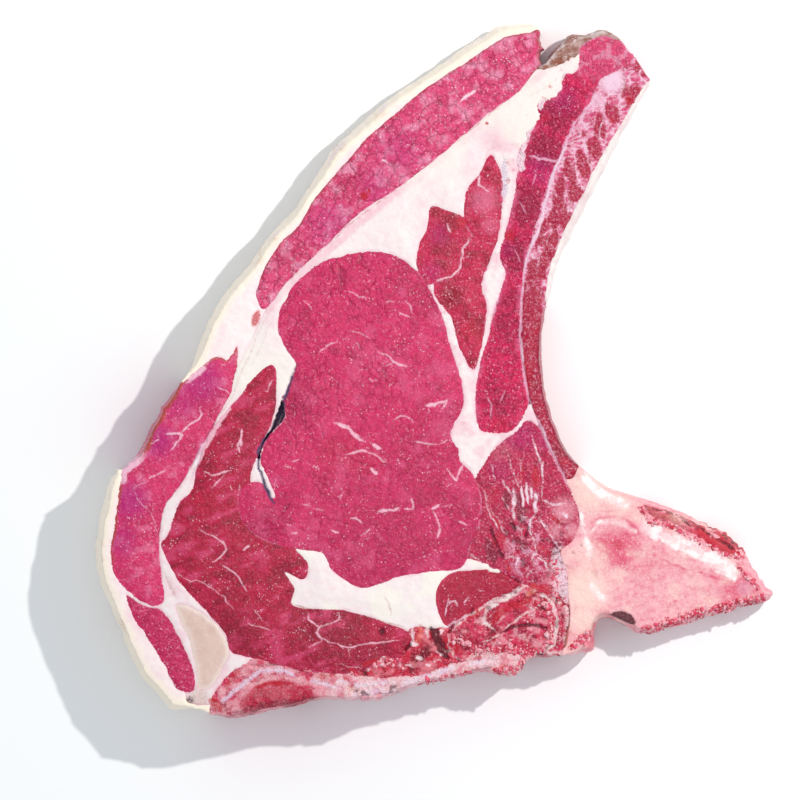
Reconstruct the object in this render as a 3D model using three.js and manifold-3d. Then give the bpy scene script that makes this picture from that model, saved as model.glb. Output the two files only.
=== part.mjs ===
// A raw bone-in ribeye steak, lying flat with the cut face up.
// Millimetres, +Z up, origin under the middle of the steak. Every muscle, fat seam and bone is a
// closed solid of its own that runs through the whole slice.
import * as THREE from 'three';
import Module from 'manifold-3d';

const wasm = await Module();
wasm.setup();
const { Manifold, Mesh } = wasm;

// Driving dimensions, in millimetres.
const STEAK_WIDTH = 257;
const THICK_SIDE = 39;
const THIN_SIDE = 18;
const WEDGE_DIRECTION = new THREE.Vector2(-0.87, -0.5).normalize();
const WEDGE_START = -80;
const WEDGE_END = 140;
const CREVICE_FLOOR = 26;
const EDGE_DROP = 0.6;
const CROWN_REACH = 9;

// The outer wall bellies out at a share of the height and leans in above and below it. The lean
// takes at most a share of the room beside it, and shrinks in steps until it stays clear.
const BELLY_HEIGHT = 0.4;
const UNDERCUT = 0.35;
const LEAN_ROOM = 0.4;
const LEAST_LEAN = 0.1;
const LEAN_CLEARANCE = 0.9;
const LEAN_STEP = 0.7;

// How the solids are cut out and meshed.
const TALL = 100;
const GAP = 0.3;
const ON_SILHOUETTE = 0.02;
const SAME_DISTANCE = 1e-3;
const TINY = 1e-6;
const CURVE_SAMPLES = 6;
const CURVE_TOLERANCE = 0.2;
const SHARPEST_MITRE = 0.5;
const LONGEST_RIM_EDGE = 9;
const LONGEST_TOP_EDGE = 10;
const FLIP_PASSES = 12;
const HALVING_PASSES = 5;

// The outlines below are points picked by eye on the photograph, in its pixels.
const PHOTO_LEFT = 96;
const PHOTO_RIGHT = 773;
const PHOTO_TOP = 23;
const PHOTO_BOTTOM = 717;
const MM_PER_PIXEL = STEAK_WIDTH / (PHOTO_RIGHT - PHOTO_LEFT);

const SILHOUETTE = [
  [536, 26], [514, 23.5], [502, 25.5], [475, 41], [442, 64], [418, 80], [388, 99.5], [362, 124],
  [335, 148], [320, 171], [297, 207], [265, 242.5], [250, 266], [229, 289], [212, 316],
  [200.5, 343], [187, 378], [171, 396], [158, 416], [151, 431], [140, 452], [129, 464],
  [110, 483], [104, 505], [97, 540], [98, 568], [111, 608], [126.5, 641], [140.5, 673],
  [166, 702], [171, 709], [195, 706.5], [224, 716.5], [271, 709.5], [323, 699.5], [379, 698.5],
  [408, 687.5], [454, 677], [494, 671], [510, 676], [520, 672], [524, 660], [545, 657],
  [583, 652], [593, 648], [593, 638], [596, 625], [603, 617.5], [624, 624.5], [643, 634],
  [666, 628], [695, 621.5], [737, 608], [769, 600], [773, 594], [764, 586], [749, 562],
  [743, 550], [722, 533], [695, 520], [669, 508], [639, 498.5], [604, 486], [582, 469.5],
  [564, 449], [551, 418], [542, 377], [541, 330], [548, 296], [559.5, 259], [577, 221.5],
  [603, 170], [622, 134], [641, 96], [650.5, 82], [643.5, 68], [623.5, 44], [604.5, 29.5],
  [585.5, 36], [570, 35.5], [556, 49.5], [541, 67], [540, 57], [541.5, 47],
];

const EYE_MUSCLE = [
  [350, 254], [371, 251], [400, 258], [420, 275], [438, 307], [447, 337], [460, 377],
  [464.5, 400], [462, 411], [456, 419], [450, 436.5], [457, 448], [459.5, 462], [470, 471],
  [480, 495], [480.5, 516], [471, 541], [461, 567], [433, 570.5], [396, 576.5], [361, 587.5],
  [333, 570], [322, 552], [300, 549], [260, 537], [243, 520.5], [239.5, 500], [242, 490],
  [252, 482.5], [263, 484], [272, 499.5], [276, 498], [268, 478], [260.5, 457.5], [267, 440],
  [283, 422], [286.5, 414], [283.5, 400], [292, 378], [296.5, 368], [296, 361.5], [283, 344],
  [278, 325], [283, 304], [298, 281], [317, 265],
];
const CAP_MUSCLE = [
  [272, 365], [277, 381], [272, 421], [262, 442], [252.5, 468], [250, 480], [252, 500],
  [270, 530], [297, 551], [308.5, 567], [304, 578.5], [284, 571], [295, 588], [291, 603.5],
  [320, 610], [345, 610], [372, 618], [408, 632], [412, 639], [401, 655], [378, 659],
  [362, 671], [329, 672.5], [283, 664.5], [242, 655], [231.5, 651], [226.5, 634], [205, 608],
  [178.5, 580], [166, 555], [162, 541], [168, 538], [179, 504], [193, 491], [198.5, 466],
  [212, 432], [237, 400], [255, 377],
];
const BACK_MUSCLE = [
  [530, 32], [545, 30], [545, 62], [537, 67], [523, 87], [493, 109], [467, 131], [430, 163],
  [391, 192], [358, 214], [324, 247.5], [290, 278], [267, 308], [262, 309.5], [256, 294.5],
  [266, 267.5], [279, 245.5], [301, 224], [314, 200], [346, 163], [371, 134.5], [400, 111],
  [422, 91], [462, 65.5], [493, 43.5], [504, 37],
];
const OUTER_LEFT_UPPER = [
  [216, 357.5], [229, 360.5], [237.5, 346], [233, 387], [221, 412], [208, 437], [189, 472],
  [179, 488.5], [165.5, 506], [160.5, 530], [160, 560], [164.5, 601], [158, 605], [143, 601],
  [116.5, 576], [112, 556], [118, 509], [122, 478], [127, 462], [128, 450], [140, 425],
  [165, 395], [178, 388], [198, 371],
];
const OUTER_LEFT_LOWER = [
  [127, 594.5], [143, 605], [161, 608.5], [171, 621.5], [182.5, 643], [192.5, 667],
  [194.5, 689], [181, 690], [171, 676.5], [155.5, 647], [134, 616],
];
const LOBE_UPPER = [
  [491.5, 155], [499, 166], [502.5, 188], [499, 231], [496, 243], [480.5, 240.5],
  [466.5, 224.5], [464, 213], [467, 189.5], [478.5, 175.5],
];
const LOBE_INNER = [
  [431, 207], [447, 210], [463.5, 217], [472, 234.5], [462, 247], [457, 276.5], [438, 281.5],
  [428, 284], [417, 267], [419, 245], [427, 230],
];
const LOBE_LOWER = [
  [470, 235], [491, 240], [497, 236], [496, 246], [482.5, 278], [482, 289], [487, 306],
  [482, 338], [477, 365], [473.5, 371], [460, 347.5], [450, 316.5], [434.5, 294], [436, 280],
  [450, 275], [458, 256],
];
const RIB_INNER = [
  [582, 46], [604, 36.5], [622, 42.5], [634, 55.5], [628, 65], [602, 78], [588, 106],
  [567, 140], [552.5, 171.5], [541.5, 203], [533.5, 235], [524, 266], [520.5, 319],
  [520, 357], [526.5, 383], [527, 408], [511.5, 430.5], [488, 432.5], [479.5, 429],
  [475.5, 404], [478.5, 370], [487.5, 337], [498.5, 297], [505.5, 272], [500, 255],
  [508.5, 222], [517.5, 178], [518, 156.5], [531.5, 128.5], [541, 116.5], [537, 105],
  [552.5, 96], [562.5, 91], [562, 77], [576.5, 70.5],
];
const RIB_OUTER = [
  [640, 45], [658, 76], [648, 81], [638, 95], [614.5, 134], [594, 169], [583, 193], [557, 247],
  [546, 285], [545, 303], [548, 330], [560, 400], [575, 440], [580, 462], [573, 478], [567, 479.5],
  [554, 459.5], [536, 418.5], [528.5, 398], [515, 370], [512, 320], [520, 240], [545, 170],
  [590, 90], [605, 60],
];
const RIB_LINING = [
  [658, 76], [662, 90], [620, 190], [570, 290], [556, 302], [540, 299], [540, 280], [560, 215],
  [600, 140], [640, 80],
];
const DEEP_MUSCLE = [
  [528, 420], [536, 424.5], [549.5, 452], [566, 481], [577, 505], [579.5, 523], [571, 543],
  [561, 550.5], [567, 570], [568.5, 594], [569, 606], [553, 597], [533, 590], [521, 583],
  [503, 571.5], [483, 563], [462, 555], [462, 530], [470, 490], [481, 469], [489, 454.5],
  [504, 440], [515, 433],
];
const OVAL_MUSCLE = [
  [436.5, 590], [449, 574], [476, 570], [507, 574], [520, 585], [490, 600.5], [470, 612.5],
  [449, 625.5], [437.5, 610.5],
];
const VERTEBRA = [
  [560, 440], [600, 440], [700, 490], [790, 560], [790, 620], [640, 650], [600, 670],
  [561, 670], [566, 644], [571, 607], [563, 595], [560, 560], [556, 545], [570, 520],
  [560, 480],
];
const LAMINA = [
  [447, 640], [450, 628], [480, 600], [520, 580], [550, 592], [567, 603], [567.5, 625],
  [561, 652], [557, 670], [540, 665], [515, 653.5], [486, 653.5], [458, 660.5],
];
const FEATHER_BONE = [
  [214, 730], [211, 706], [220, 684], [240, 666.5], [252, 660], [300, 662], [345, 674],
  [388, 677.5], [421, 675.5], [461, 660.5], [497, 650], [518, 651], [530, 663], [526, 690],
  [400, 715], [300, 730],
];
const LIGAMENT = [
  [177, 604.5], [193, 607.5], [217, 624.5], [229, 652], [221, 670], [211, 687], [200, 687],
  [196, 664], [191, 640],
];
const TRIMMED_MEAT = [
  [343, 668], [378, 655], [404, 646], [411, 628], [431, 629], [450, 628], [452, 645],
  [460, 664], [431, 672], [388, 680], [352, 682],
];
const RIB_FLAP = [
  [539, 69], [547, 55], [561, 36], [580, 26], [608, 24], [625, 44], [600, 44], [582, 50],
  [574, 57], [561, 64],
];
const CREVICE = [
  [296, 366], [290, 380], [281, 402], [271, 430], [259.5, 446], [256, 455], [262, 462],
  [275, 500], [280, 498], [270, 455], [290, 422], [292, 400], [300, 372],
];
const BOTTOM_FAT = [
  [322, 552], [290, 540], [296, 558], [296, 572], [284, 571], [285, 588], [281, 605],
  [296, 616], [345, 620], [386, 636], [411, 629.5], [431, 630], [440, 634], [449, 626],
  [441, 610], [446, 590], [460, 580], [485, 574], [503, 574], [490, 563], [470, 552],
  [409, 560], [361, 570],
];
const MIDDLE_FAT = [
  [515, 145], [497, 148], [488, 150], [488, 200], [476, 300], [465, 290], [440, 278],
  [424, 281], [444, 320], [452, 400], [444, 436.5], [455, 470], [482, 506], [487, 480],
  [510, 445], [538, 426], [532, 405], [515, 415], [490, 420], [490, 350], [515, 270],
  [511, 250], [525, 180],
];
const SEAM_FAT = [
  [216, 415], [221, 425], [205, 470], [200, 500], [175, 540], [185, 570], [235, 630], [236, 650],
  [245, 655], [300, 668], [300, 672], [240, 672], [222, 687], [214, 702], [206, 704], [187, 700],
  [190, 664], [180, 650], [155, 625], [135, 597], [155, 580], [155, 520], [175, 490], [205, 435],
];
const SIDE_FAT = [
  [118, 455], [135, 470], [125, 560], [150, 615], [185, 670], [205, 685], [218, 700], [220, 725],
  [160, 725], [85, 620], [85, 520],
];
const INNER_FAT = [
  [541, 67], [558, 56], [573, 50], [590, 60], [575, 90], [560, 110], [545, 140], [525, 160],
  [514, 150], [497, 146], [488, 150], [480, 200], [470, 230], [440, 240], [435, 270],
  [424, 281], [405, 285], [350, 275], [300, 300], [295, 330], [310, 360], [300, 420],
  [285, 460], [285, 505], [255, 500], [248, 470], [255, 440], [262, 390], [245, 400],
  [222, 428], [215, 424], [236, 372], [252, 340], [266, 310], [274, 297], [358, 205],
  [467, 125], [521, 85],
];

// Looks of the plain CAD model. `flare` is how far the outer wall leans in towards the cut face,
// and `crown` how far the middle of a piece stands above its rim.
const LEAN = { colour: 0xc2405f, crown: 1.1, flare: 1.0, roughness: 0.35 };
const DARK_LEAN = { colour: 0xa83250, crown: 1.0, flare: 1.0, roughness: 0.35 };
const FAT = { colour: 0xf6e8e0, crown: 0.5, flare: 5.5, roughness: 0.45 };
const BONE = { colour: 0xf0b9bd, crown: 0.4, flare: 2.5, roughness: 0.5 };
const SPONGY_BONE = { colour: 0xd26a76, crown: 0.3, flare: 1.5, roughness: 0.6 };
const SINEW = { colour: 0xddc4bd, crown: 0.4, flare: 1.0, roughness: 0.4 };

// Earlier pieces win wherever two outlines cross, so each later one fits up against them.
const PIECES = [
  ['eye_muscle', EYE_MUSCLE, LEAN],
  ['cap_muscle', CAP_MUSCLE, DARK_LEAN],
  ['back_muscle', BACK_MUSCLE, LEAN],
  ['outer_left_upper', OUTER_LEFT_UPPER, LEAN],
  ['outer_left_lower', OUTER_LEFT_LOWER, LEAN],
  ['lobe_upper', LOBE_UPPER, LEAN],
  ['lobe_inner', LOBE_INNER, LEAN],
  ['lobe_lower', LOBE_LOWER, LEAN],
  ['rib_inner', RIB_INNER, DARK_LEAN],
  ['deep_muscle', DEEP_MUSCLE, LEAN],
  ['oval_muscle', OVAL_MUSCLE, DARK_LEAN],
  ['rib_outer', RIB_OUTER, LEAN],
  ['rib_lining', RIB_LINING, { ...SINEW, colour: 0xf4ebe2 }],
  ['rib_flap', RIB_FLAP, { ...SINEW, colour: 0xb79a8c }],
  ['lamina', LAMINA, SPONGY_BONE],
  ['vertebra', VERTEBRA, BONE],
  ['feather_bone', FEATHER_BONE, SPONGY_BONE],
  ['ligament', LIGAMENT, SINEW],
  ['trimmed_meat', TRIMMED_MEAT, DARK_LEAN],
  ['bottom_fat', BOTTOM_FAT, FAT],
  ['middle_fat', MIDDLE_FAT, FAT],
  ['inner_fat', INNER_FAT, FAT],
  ['seam_fat', SEAM_FAT, FAT],
  ['side_fat', SIDE_FAT, FAT],
  ['outer_fat', SILHOUETTE, FAT],
];

function toMillimetres([x, y]) {
  const middleX = (PHOTO_LEFT + PHOTO_RIGHT) / 2;
  const middleY = (PHOTO_TOP + PHOTO_BOTTOM) / 2;
  return new THREE.Vector2((x - middleX) * MM_PER_PIXEL, (middleY - y) * MM_PER_PIXEL);
}

function distanceToSegment(point, from, to) {
  const along = to.clone().sub(from);
  const share = point.clone().sub(from).dot(along) / Math.max(along.lengthSq(), TINY * TINY);
  return point.distanceTo(from.clone().addScaledVector(along, THREE.MathUtils.clamp(share, 0, 1)));
}

// A smooth closed curve through the picked points, with only as many vertices as its bends need.
function smoothLoop(pixels) {
  const knots = pixels.map(toMillimetres).map(({ x, y }) => new THREE.Vector3(x, y, 0));
  const curve = new THREE.CatmullRomCurve3(knots, true, 'centripetal');
  const samples = curve.getPoints(knots.length * CURVE_SAMPLES).slice(0, -1);
  const fine = samples.map(({ x, y }) => new THREE.Vector2(x, y));
  const loop = [fine[0]];
  let start = 0;
  for (let end = 2; end <= fine.length; end += 1) {
    const target = fine[end % fine.length];
    const skipped = fine.slice(start + 1, end);
    const strays = skipped.some((point) => distanceToSegment(point, fine[start], target) > CURVE_TOLERANCE);
    if (strays || fine[start].distanceTo(target) > LONGEST_RIM_EDGE) {
      start = end - 1;
      loop.push(fine[start]);
    }
  }
  return THREE.ShapeUtils.area(loop) < 0 ? loop.reverse() : loop;
}

// Each corner moves out along its mitre, so every side ends up `distance` further out.
function growLoop(loop, distance) {
  return loop.map((corner, index) => {
    const before = loop.at(index - 1);
    const after = loop[(index + 1) % loop.length];
    const arriving = corner.clone().sub(before).normalize();
    const leaving = after.clone().sub(corner).normalize();
    const outward = new THREE.Vector2(arriving.y + leaving.y, -arriving.x - leaving.x).normalize();
    const mitre = Math.max(outward.dot(new THREE.Vector2(arriving.y, -arriving.x)), SHARPEST_MITRE);
    return corner.clone().addScaledVector(outward, distance / mitre);
  });
}

function toManifold(vertices, triangles) {
  return new Manifold(new Mesh({
    numProp: 3,
    vertProperties: new Float32Array(vertices.flat()),
    triVerts: new Uint32Array(triangles.flat()),
  }));
}

function prism(loop, bottom = 0, top = TALL) {
  const count = loop.length;
  const caps = THREE.ShapeUtils.triangulateShape(loop, []);
  const vertices = [...loop.map(({ x, y }) => [x, y, bottom]), ...loop.map(({ x, y }) => [x, y, top])];
  const triangles = [];
  for (const [a, b, c] of caps) {
    triangles.push([a, c, b], [a + count, b + count, c + count]);
  }
  for (let i = 0; i < count; i += 1) {
    const next = (i + 1) % count;
    triangles.push([i, next, next + count], [i, next + count, i + count]);
  }
  return toManifold(vertices, triangles);
}

function largestBody(solid) {
  const bodies = solid.decompose();
  return bodies.reduce((best, body) => (body.volume() > best.volume() ? body : best));
}

// The outlines of an upright solid's flat top: its contour first, then any holes.
function planLoops(solid) {
  const { numProp, vertProperties, triVerts } = solid.getMesh();
  const following = new Map();
  const triangles = [];
  for (let i = 0; i < triVerts.length; i += 3) {
    const corners = [...triVerts.slice(i, i + 3)];
    if (corners.every((vertex) => vertProperties[vertex * numProp + 2] > TALL / 2)) {
      triangles.push(corners);
    }
  }
  rimEdges(triangles).forEach(([from, to]) => following.set(from, to));
  const loops = [];
  while (following.size > 0) {
    const loop = [];
    let [vertex] = following.keys();
    while (following.has(vertex)) {
      loop.push(new THREE.Vector2(vertProperties[vertex * numProp], vertProperties[vertex * numProp + 1]));
      const next = following.get(vertex);
      following.delete(vertex);
      vertex = next;
    }
    loops.push(loop);
  }
  const size = (loop) => Math.abs(THREE.ShapeUtils.area(loop));
  return loops.sort((first, second) => size(second) - size(first));
}

const edgeKey = (a, b) => (a < b ? `${a},${b}` : `${b},${a}`);

function edgeTable(triangles) {
  const table = new Map();
  triangles.forEach((triangle, index) => {
    triangle.forEach((a, corner) => {
      const key = edgeKey(a, triangle[(corner + 1) % 3]);
      table.set(key, [...(table.get(key) ?? []), index]);
    });
  });
  return table;
}

function rimEdges(triangles) {
  const table = edgeTable(triangles);
  const rim = [];
  for (const triangle of triangles) {
    triangle.forEach((a, corner) => {
      const b = triangle[(corner + 1) % 3];
      if (table.get(edgeKey(a, b)).length === 1) rim.push([a, b]);
    });
  }
  return rim;
}

function angleAt(points, apex, a, b) {
  const first = points[a].clone().sub(points[apex]);
  const second = points[b].clone().sub(points[apex]);
  return Math.abs(Math.atan2(first.cross(second), first.dot(second)));
}

const turn = (a, b, c) => b.clone().sub(a).cross(c.clone().sub(a));

// Swaps diagonals until no pair of triangles can be made less thin.
function flipThinPairs({ points, triangles }) {
  for (let pass = 0; pass < FLIP_PASSES; pass += 1) {
    const touched = new Set();
    for (const [key, owners] of edgeTable(triangles)) {
      if (owners.length !== 2 || owners.some((owner) => touched.has(owner))) continue;
      const shared = key.split(',').map(Number);
      const [left, right] = owners.map((owner) => triangles[owner].find((v) => !shared.includes(v)));
      if (angleAt(points, left, ...shared) + angleAt(points, right, ...shared) < Math.PI + TINY) continue;
      const before = triangles[owners[0]];
      const a = before[(before.indexOf(left) + 1) % 3];
      const b = before[(before.indexOf(left) + 2) % 3];
      const stayUpright = turn(points[left], points[a], points[right]) > TINY
        && turn(points[left], points[right], points[b]) > TINY;
      if (!stayUpright) continue;
      triangles[owners[0]] = [left, a, right];
      triangles[owners[1]] = [left, right, b];
      owners.forEach((owner) => touched.add(owner));
    }
    if (touched.size === 0) return;
  }
}

// Halves every inner edge that is too long, so the top can follow the wedge and its crown.
function refineTop(face) {
  for (let pass = 0; pass < HALVING_PASSES; pass += 1) {
    flipThinPairs(face);
    const middles = new Map();
    for (const [key, owners] of edgeTable(face.triangles)) {
      const [a, b] = key.split(',').map(Number);
      if (owners.length === 2 && face.points[a].distanceTo(face.points[b]) > LONGEST_TOP_EDGE) {
        middles.set(key, face.points.length);
        face.points.push(face.points[a].clone().add(face.points[b]).multiplyScalar(0.5));
      }
    }
    if (middles.size === 0) return;
    face.triangles = face.triangles.flatMap((triangle) => splitTriangle(triangle, middles));
  }
  flipThinPairs(face);
}

function splitTriangle([a, b, c], middles) {
  const [ab, bc, ca] = [[a, b], [b, c], [c, a]].map(([from, to]) => middles.get(edgeKey(from, to)));
  if (ab === undefined && bc === undefined && ca === undefined) return [[a, b, c]];
  if (ab === undefined) return splitTriangle([b, c, a], middles);
  if (bc === undefined && ca === undefined) return [[a, ab, c], [ab, b, c]];
  if (bc === undefined) return [[a, ab, ca], [ab, b, ca], [b, c, ca]];
  if (ca === undefined) return [[ab, b, bc], [a, ab, bc], [a, bc, c]];
  return [[a, ab, ca], [ab, b, bc], [ca, bc, c], [ab, bc, ca]];
}

function thickness({ x, y }) {
  const along = WEDGE_DIRECTION.x * x + WEDGE_DIRECTION.y * y;
  return THIN_SIDE + (THICK_SIDE - THIN_SIDE) * THREE.MathUtils.smoothstep(along, WEDGE_START, WEDGE_END);
}

const outerLoop = smoothLoop(SILHOUETTE);

// The distance from a point to a loop, and the way in from the sides nearest to it.
function nearestOnLoop(point, loop) {
  let distance = Infinity;
  let inward = new THREE.Vector2();
  loop.forEach((from, index) => {
    const to = loop[(index + 1) % loop.length];
    const away = distanceToSegment(point, from, to);
    if (away > distance + SAME_DISTANCE) return;
    const along = to.clone().sub(from).normalize();
    if (away < distance - SAME_DISTANCE) inward = new THREE.Vector2();
    inward.add(new THREE.Vector2(-along.y, along.x));
    distance = Math.min(away, distance);
  });
  return { distance, inward: inward.normalize() };
}

const onSilhouette = (point) => nearestOnLoop(point, outerLoop).distance < ON_SILHOUETTE;

function loopSides(loops) {
  return loops.flatMap((loop) => loop.map((from, index) => [from, loop[(index + 1) % loop.length]]));
}

const distanceToSides = (point, sides) => (
  Math.min(...sides.map(([from, to]) => distanceToSegment(point, from, to)), Infinity));

// How far and which way the wall leans in above a rim point: only along the silhouette.
function leanAt(point, innerSides, flare) {
  if (!onSilhouette(point)) return new THREE.Vector2();
  const { inward } = nearestOnLoop(point, outerLoop);
  let lean = Math.min(flare, LEAN_ROOM * distanceToSides(point, innerSides));
  const clearance = () => nearestOnLoop(point.clone().addScaledVector(inward, lean), outerLoop).distance;
  while (lean > LEAST_LEAN && clearance() < LEAN_CLEARANCE * lean) lean *= LEAN_STEP;
  return inward.clone().multiplyScalar(lean);
}

function capOf(loops) {
  const [contour, ...holes] = loops;
  return { points: loops.flat(), triangles: THREE.ShapeUtils.triangulateShape(contour, holes) };
}

// Stands a plan region up into a solid with a flat bottom, a belly in its outer wall and a soft top.
function standUp(loops, look) {
  const innerSides = loopSides(loops).filter(([from, to]) => (
    !onSilhouette(from.clone().add(to).multiplyScalar(0.5))));
  const leans = loops.map((loop) => loop.map((point) => leanAt(point, innerSides, look.flare)));
  const leaned = (share) => loops.map((loop, which) => (
    loop.map((point, index) => point.clone().addScaledVector(leans[which][index], share))));
  const bellied = leans.flat().some((lean) => lean.length() > 0);
  const bottom = capOf(leaned(UNDERCUT));
  const top = capOf(leaned(1));
  const topSides = loopSides(leaned(1));
  refineTop(top);

  const vertices = bottom.points.map(({ x, y }) => [x, y, 0]);
  const levels = [0];
  if (bellied) {
    levels.push(vertices.length);
    vertices.push(...loops.flat().map((point) => [point.x, point.y, BELLY_HEIGHT * thickness(point)]));
  }
  const topStart = vertices.length;
  levels.push(topStart);
  for (const point of top.points) {
    const swell = THREE.MathUtils.smoothstep(distanceToSides(point, topSides), 0, CROWN_REACH);
    vertices.push([point.x, point.y, thickness(point) - EDGE_DROP + (EDGE_DROP + look.crown) * swell]);
  }

  const faces = bottom.triangles.map(([a, b, c]) => [a, c, b]);
  faces.push(...top.triangles.map((triangle) => triangle.map((vertex) => vertex + topStart)));
  for (let level = 1; level < levels.length; level += 1) {
    const [low, high] = [levels[level - 1], levels[level]];
    let start = 0;
    for (const loop of loops) {
      loop.forEach((_, index) => {
        const a = start + index;
        const b = start + ((index + 1) % loop.length);
        faces.push([a + low, b + low, b + high], [a + low, b + high, a + high]);
      });
      start += loop.length;
    }
  }
  return toManifold(vertices, faces);
}

function toMesh(name, solid, look) {
  const { vertProperties, triVerts } = solid.getMesh();
  const geometry = new THREE.BufferGeometry();
  geometry.setAttribute('position', new THREE.BufferAttribute(new Float32Array(vertProperties), 3));
  geometry.setIndex(new THREE.BufferAttribute(new Uint32Array(triVerts), 1));
  geometry.computeVertexNormals();
  const material = new THREE.MeshStandardMaterial({ color: look.colour, roughness: look.roughness });
  const mesh = new THREE.Mesh(geometry, material);
  mesh.name = name;
  return mesh;
}

const group = new THREE.Group();
group.name = 'raw_ribeye_steak';
const slab = prism(outerLoop);
let taken = null;
for (const [name, outline, look] of PIECES) {
  const loop = smoothLoop(outline);
  let plan = name === 'outer_fat' ? slab : slab.intersect(prism(loop));
  if (taken) plan = plan.subtract(taken);
  plan = largestBody(plan);
  let solid = standUp(planLoops(plan), look);
  if (name === 'inner_fat') {
    solid = largestBody(solid.subtract(prism(smoothLoop(CREVICE), CREVICE_FLOOR, TALL)));
  }
  group.add(toMesh(name, solid, look));
  const grown = prism(growLoop(loop, GAP));
  taken = taken ? taken.add(grown) : grown;
}

export default group;
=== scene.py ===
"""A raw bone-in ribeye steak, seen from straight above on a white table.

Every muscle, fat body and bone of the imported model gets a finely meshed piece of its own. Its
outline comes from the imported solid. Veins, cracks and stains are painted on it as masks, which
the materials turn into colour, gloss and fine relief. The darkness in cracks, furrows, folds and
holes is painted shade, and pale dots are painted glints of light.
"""
import math
from functools import partial

import bmesh
import bpy
import numpy as np
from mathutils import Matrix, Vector, kdtree
from mathutils.bvhtree import BVHTree
from mathutils.geometry import delaunay_2d_cdt


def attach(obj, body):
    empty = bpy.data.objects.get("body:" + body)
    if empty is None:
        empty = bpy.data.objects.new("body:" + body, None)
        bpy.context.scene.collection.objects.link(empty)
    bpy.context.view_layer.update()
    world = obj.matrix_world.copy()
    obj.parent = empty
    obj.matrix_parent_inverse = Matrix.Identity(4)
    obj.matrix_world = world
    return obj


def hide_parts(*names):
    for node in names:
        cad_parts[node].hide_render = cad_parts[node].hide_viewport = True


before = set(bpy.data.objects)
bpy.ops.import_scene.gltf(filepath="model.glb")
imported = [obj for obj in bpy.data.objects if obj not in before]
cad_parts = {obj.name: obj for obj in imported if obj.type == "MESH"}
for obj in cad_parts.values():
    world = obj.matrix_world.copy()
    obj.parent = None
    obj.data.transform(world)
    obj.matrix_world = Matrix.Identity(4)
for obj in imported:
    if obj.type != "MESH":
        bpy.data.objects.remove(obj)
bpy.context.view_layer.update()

MM = 0.001

# Driving dimensions of the slice, the same as the solids', in millimetres.
STEAK_WIDTH = 257
THICK_SIDE = 39
THIN_SIDE = 18
WEDGE_DIRECTION = np.array([-0.87, -0.5]) / math.hypot(0.87, 0.5)
WEDGE_START = -80
WEDGE_END = 140
BELLY_SHARE = 0.4
UNDERCUT = 0.35
CREVICE_FLOOR = 26

# How finely the pieces are meshed and fitted to each other, in millimetres.
TOP_STEP = 0.48
SIDE_ROWS = 14
UNDERSIDE_STEP = 1.2
SEAM_OVERLAP = 0.42
SEAM_DROP = 0.18
WOBBLE = 0.4
RAGGED_WOBBLE = 1.1
NEIGHBOUR_REACH = 1.3

# How the meshing decides: counts of rows and points, shares of a step or a length, and tolerances.
SEAM_ROWS = 2
GRID_CLEARANCE = 0.6
ROW_OFFSET = 0.37
NORMAL_REACH = 4
SAME_HEIGHT = 0.05
UPWARD = 0.5
TINY = 1e-9
CUT_TOLERANCE = 1e-7
WELD_METRES = 2e-6
POINTS_AT_ONCE = 4000

# A wall leans in by at most these shares of the way to a seam and of the piece's own width. The
# width is measured to walls whose normals have less than this product with the wall's own.
LEAN_TO_SEAM = 0.45
LEAN_TO_WIDTH = 0.35
OPPOSITE = -0.2

# The relief of the cut face and the walls, in millimetres.
RIM_ROLL = 1.4
CROWN_REACH = 9
SWELL = 0.35
RIPPLE = 0.10
# Where the dark and crevice masks paint shade into cracks, folds and the crevice, the face also sinks.
MASK_HEIGHTS = {"dark": -0.6, "crevice": -0.5, "fat": 0.06}
BIG_DENT = 0.5
SMALL_DENT = 0.2
LEAST_LEAN_WITH_DENTS = 0.3

# The marks on a wall are taken from up to this far round the rim and in from it, in millimetres.
# They have drifted that far at this share of the way down.
WALL_MARK_DRIFT = 6
WALL_MARK_RIM = 1.2
WALL_MARK_START = 0.15

# How crooked and soft the painted marks are. The edges are ranges over which a mask fades: shares
# of the radius for spots and ellipses, strengths for crumbled masks.
CELL_WARP = 0.25
BEYOND_ANY_CELL = 9.0
STROKE_WOBBLE = 0.4
TAPERED_SHARE = 0.25
UNEVEN_WIDTH = 0.5
SPOT_EDGE = (0.25, 1.15)
ELLIPSE_EDGE = (0.55, 1.2)
CRUMBLED_EDGE = (0.3, 0.7)
AREA_EDGE_STEP = 0.5
VEIN_PARTS = 3
VEIN_WANDER = 0.4

# The saw's crumbs: ranges of radius in millimetres, of stretch, of dents and of how far they sink,
# and how far they stray from their trail as a share of its width.
CRUMB_RADIUS = (0.25, 0.8)
CRUMB_STRETCH = (0.6, 1.6)
CRUMB_DENTS = (0.6, 1.25)
CRUMB_SINK = (-0.3, 0.0)
CRUMB_SPREAD = 0.25

# Places on the steak are given in the photograph's pixels and turned into millimetres here.
PHOTO_LEFT = 96
PHOTO_RIGHT = 773
PHOTO_TOP = 23
PHOTO_BOTTOM = 717
PHOTO_SIDE = 800
MM_PER_PIXEL = STEAK_WIDTH / (PHOTO_RIGHT - PHOTO_LEFT)
PHOTO_MIDDLE = np.array([(PHOTO_LEFT + PHOTO_RIGHT) / 2, (PHOTO_TOP + PHOTO_BOTTOM) / 2])

# The camera, the lamp, the sky and the table: places and sizes in metres, the sensor in millimetres.
CAMERA_HEIGHT = 5.0
CAMERA_FOCUS_PLANE = 0.024
LAMP_PIXEL = (1750, -500)
LAMP_HEIGHT = 0.88
LAMP_RADIUS = 0.015
LAMP_POWER = 25
LAMP_TINT = (1.0, 0.97, 0.93)
SKY_TINT = (0.88, 0.94, 1.0, 1)
SKY_STRENGTH = 0.74
TABLE_SIZE = 4.0
TABLE_DROP = 0.0002
TABLE_TINT = (0.96, 0.96, 0.96, 1)
SENSOR_WIDTH = 36


def on_steak(pixels):
    """Photograph pixels as millimetres from the middle of the steak, +Y up."""
    return (np.asarray(pixels, float) - PHOTO_MIDDLE) * [MM_PER_PIXEL, -MM_PER_PIXEL]


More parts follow.
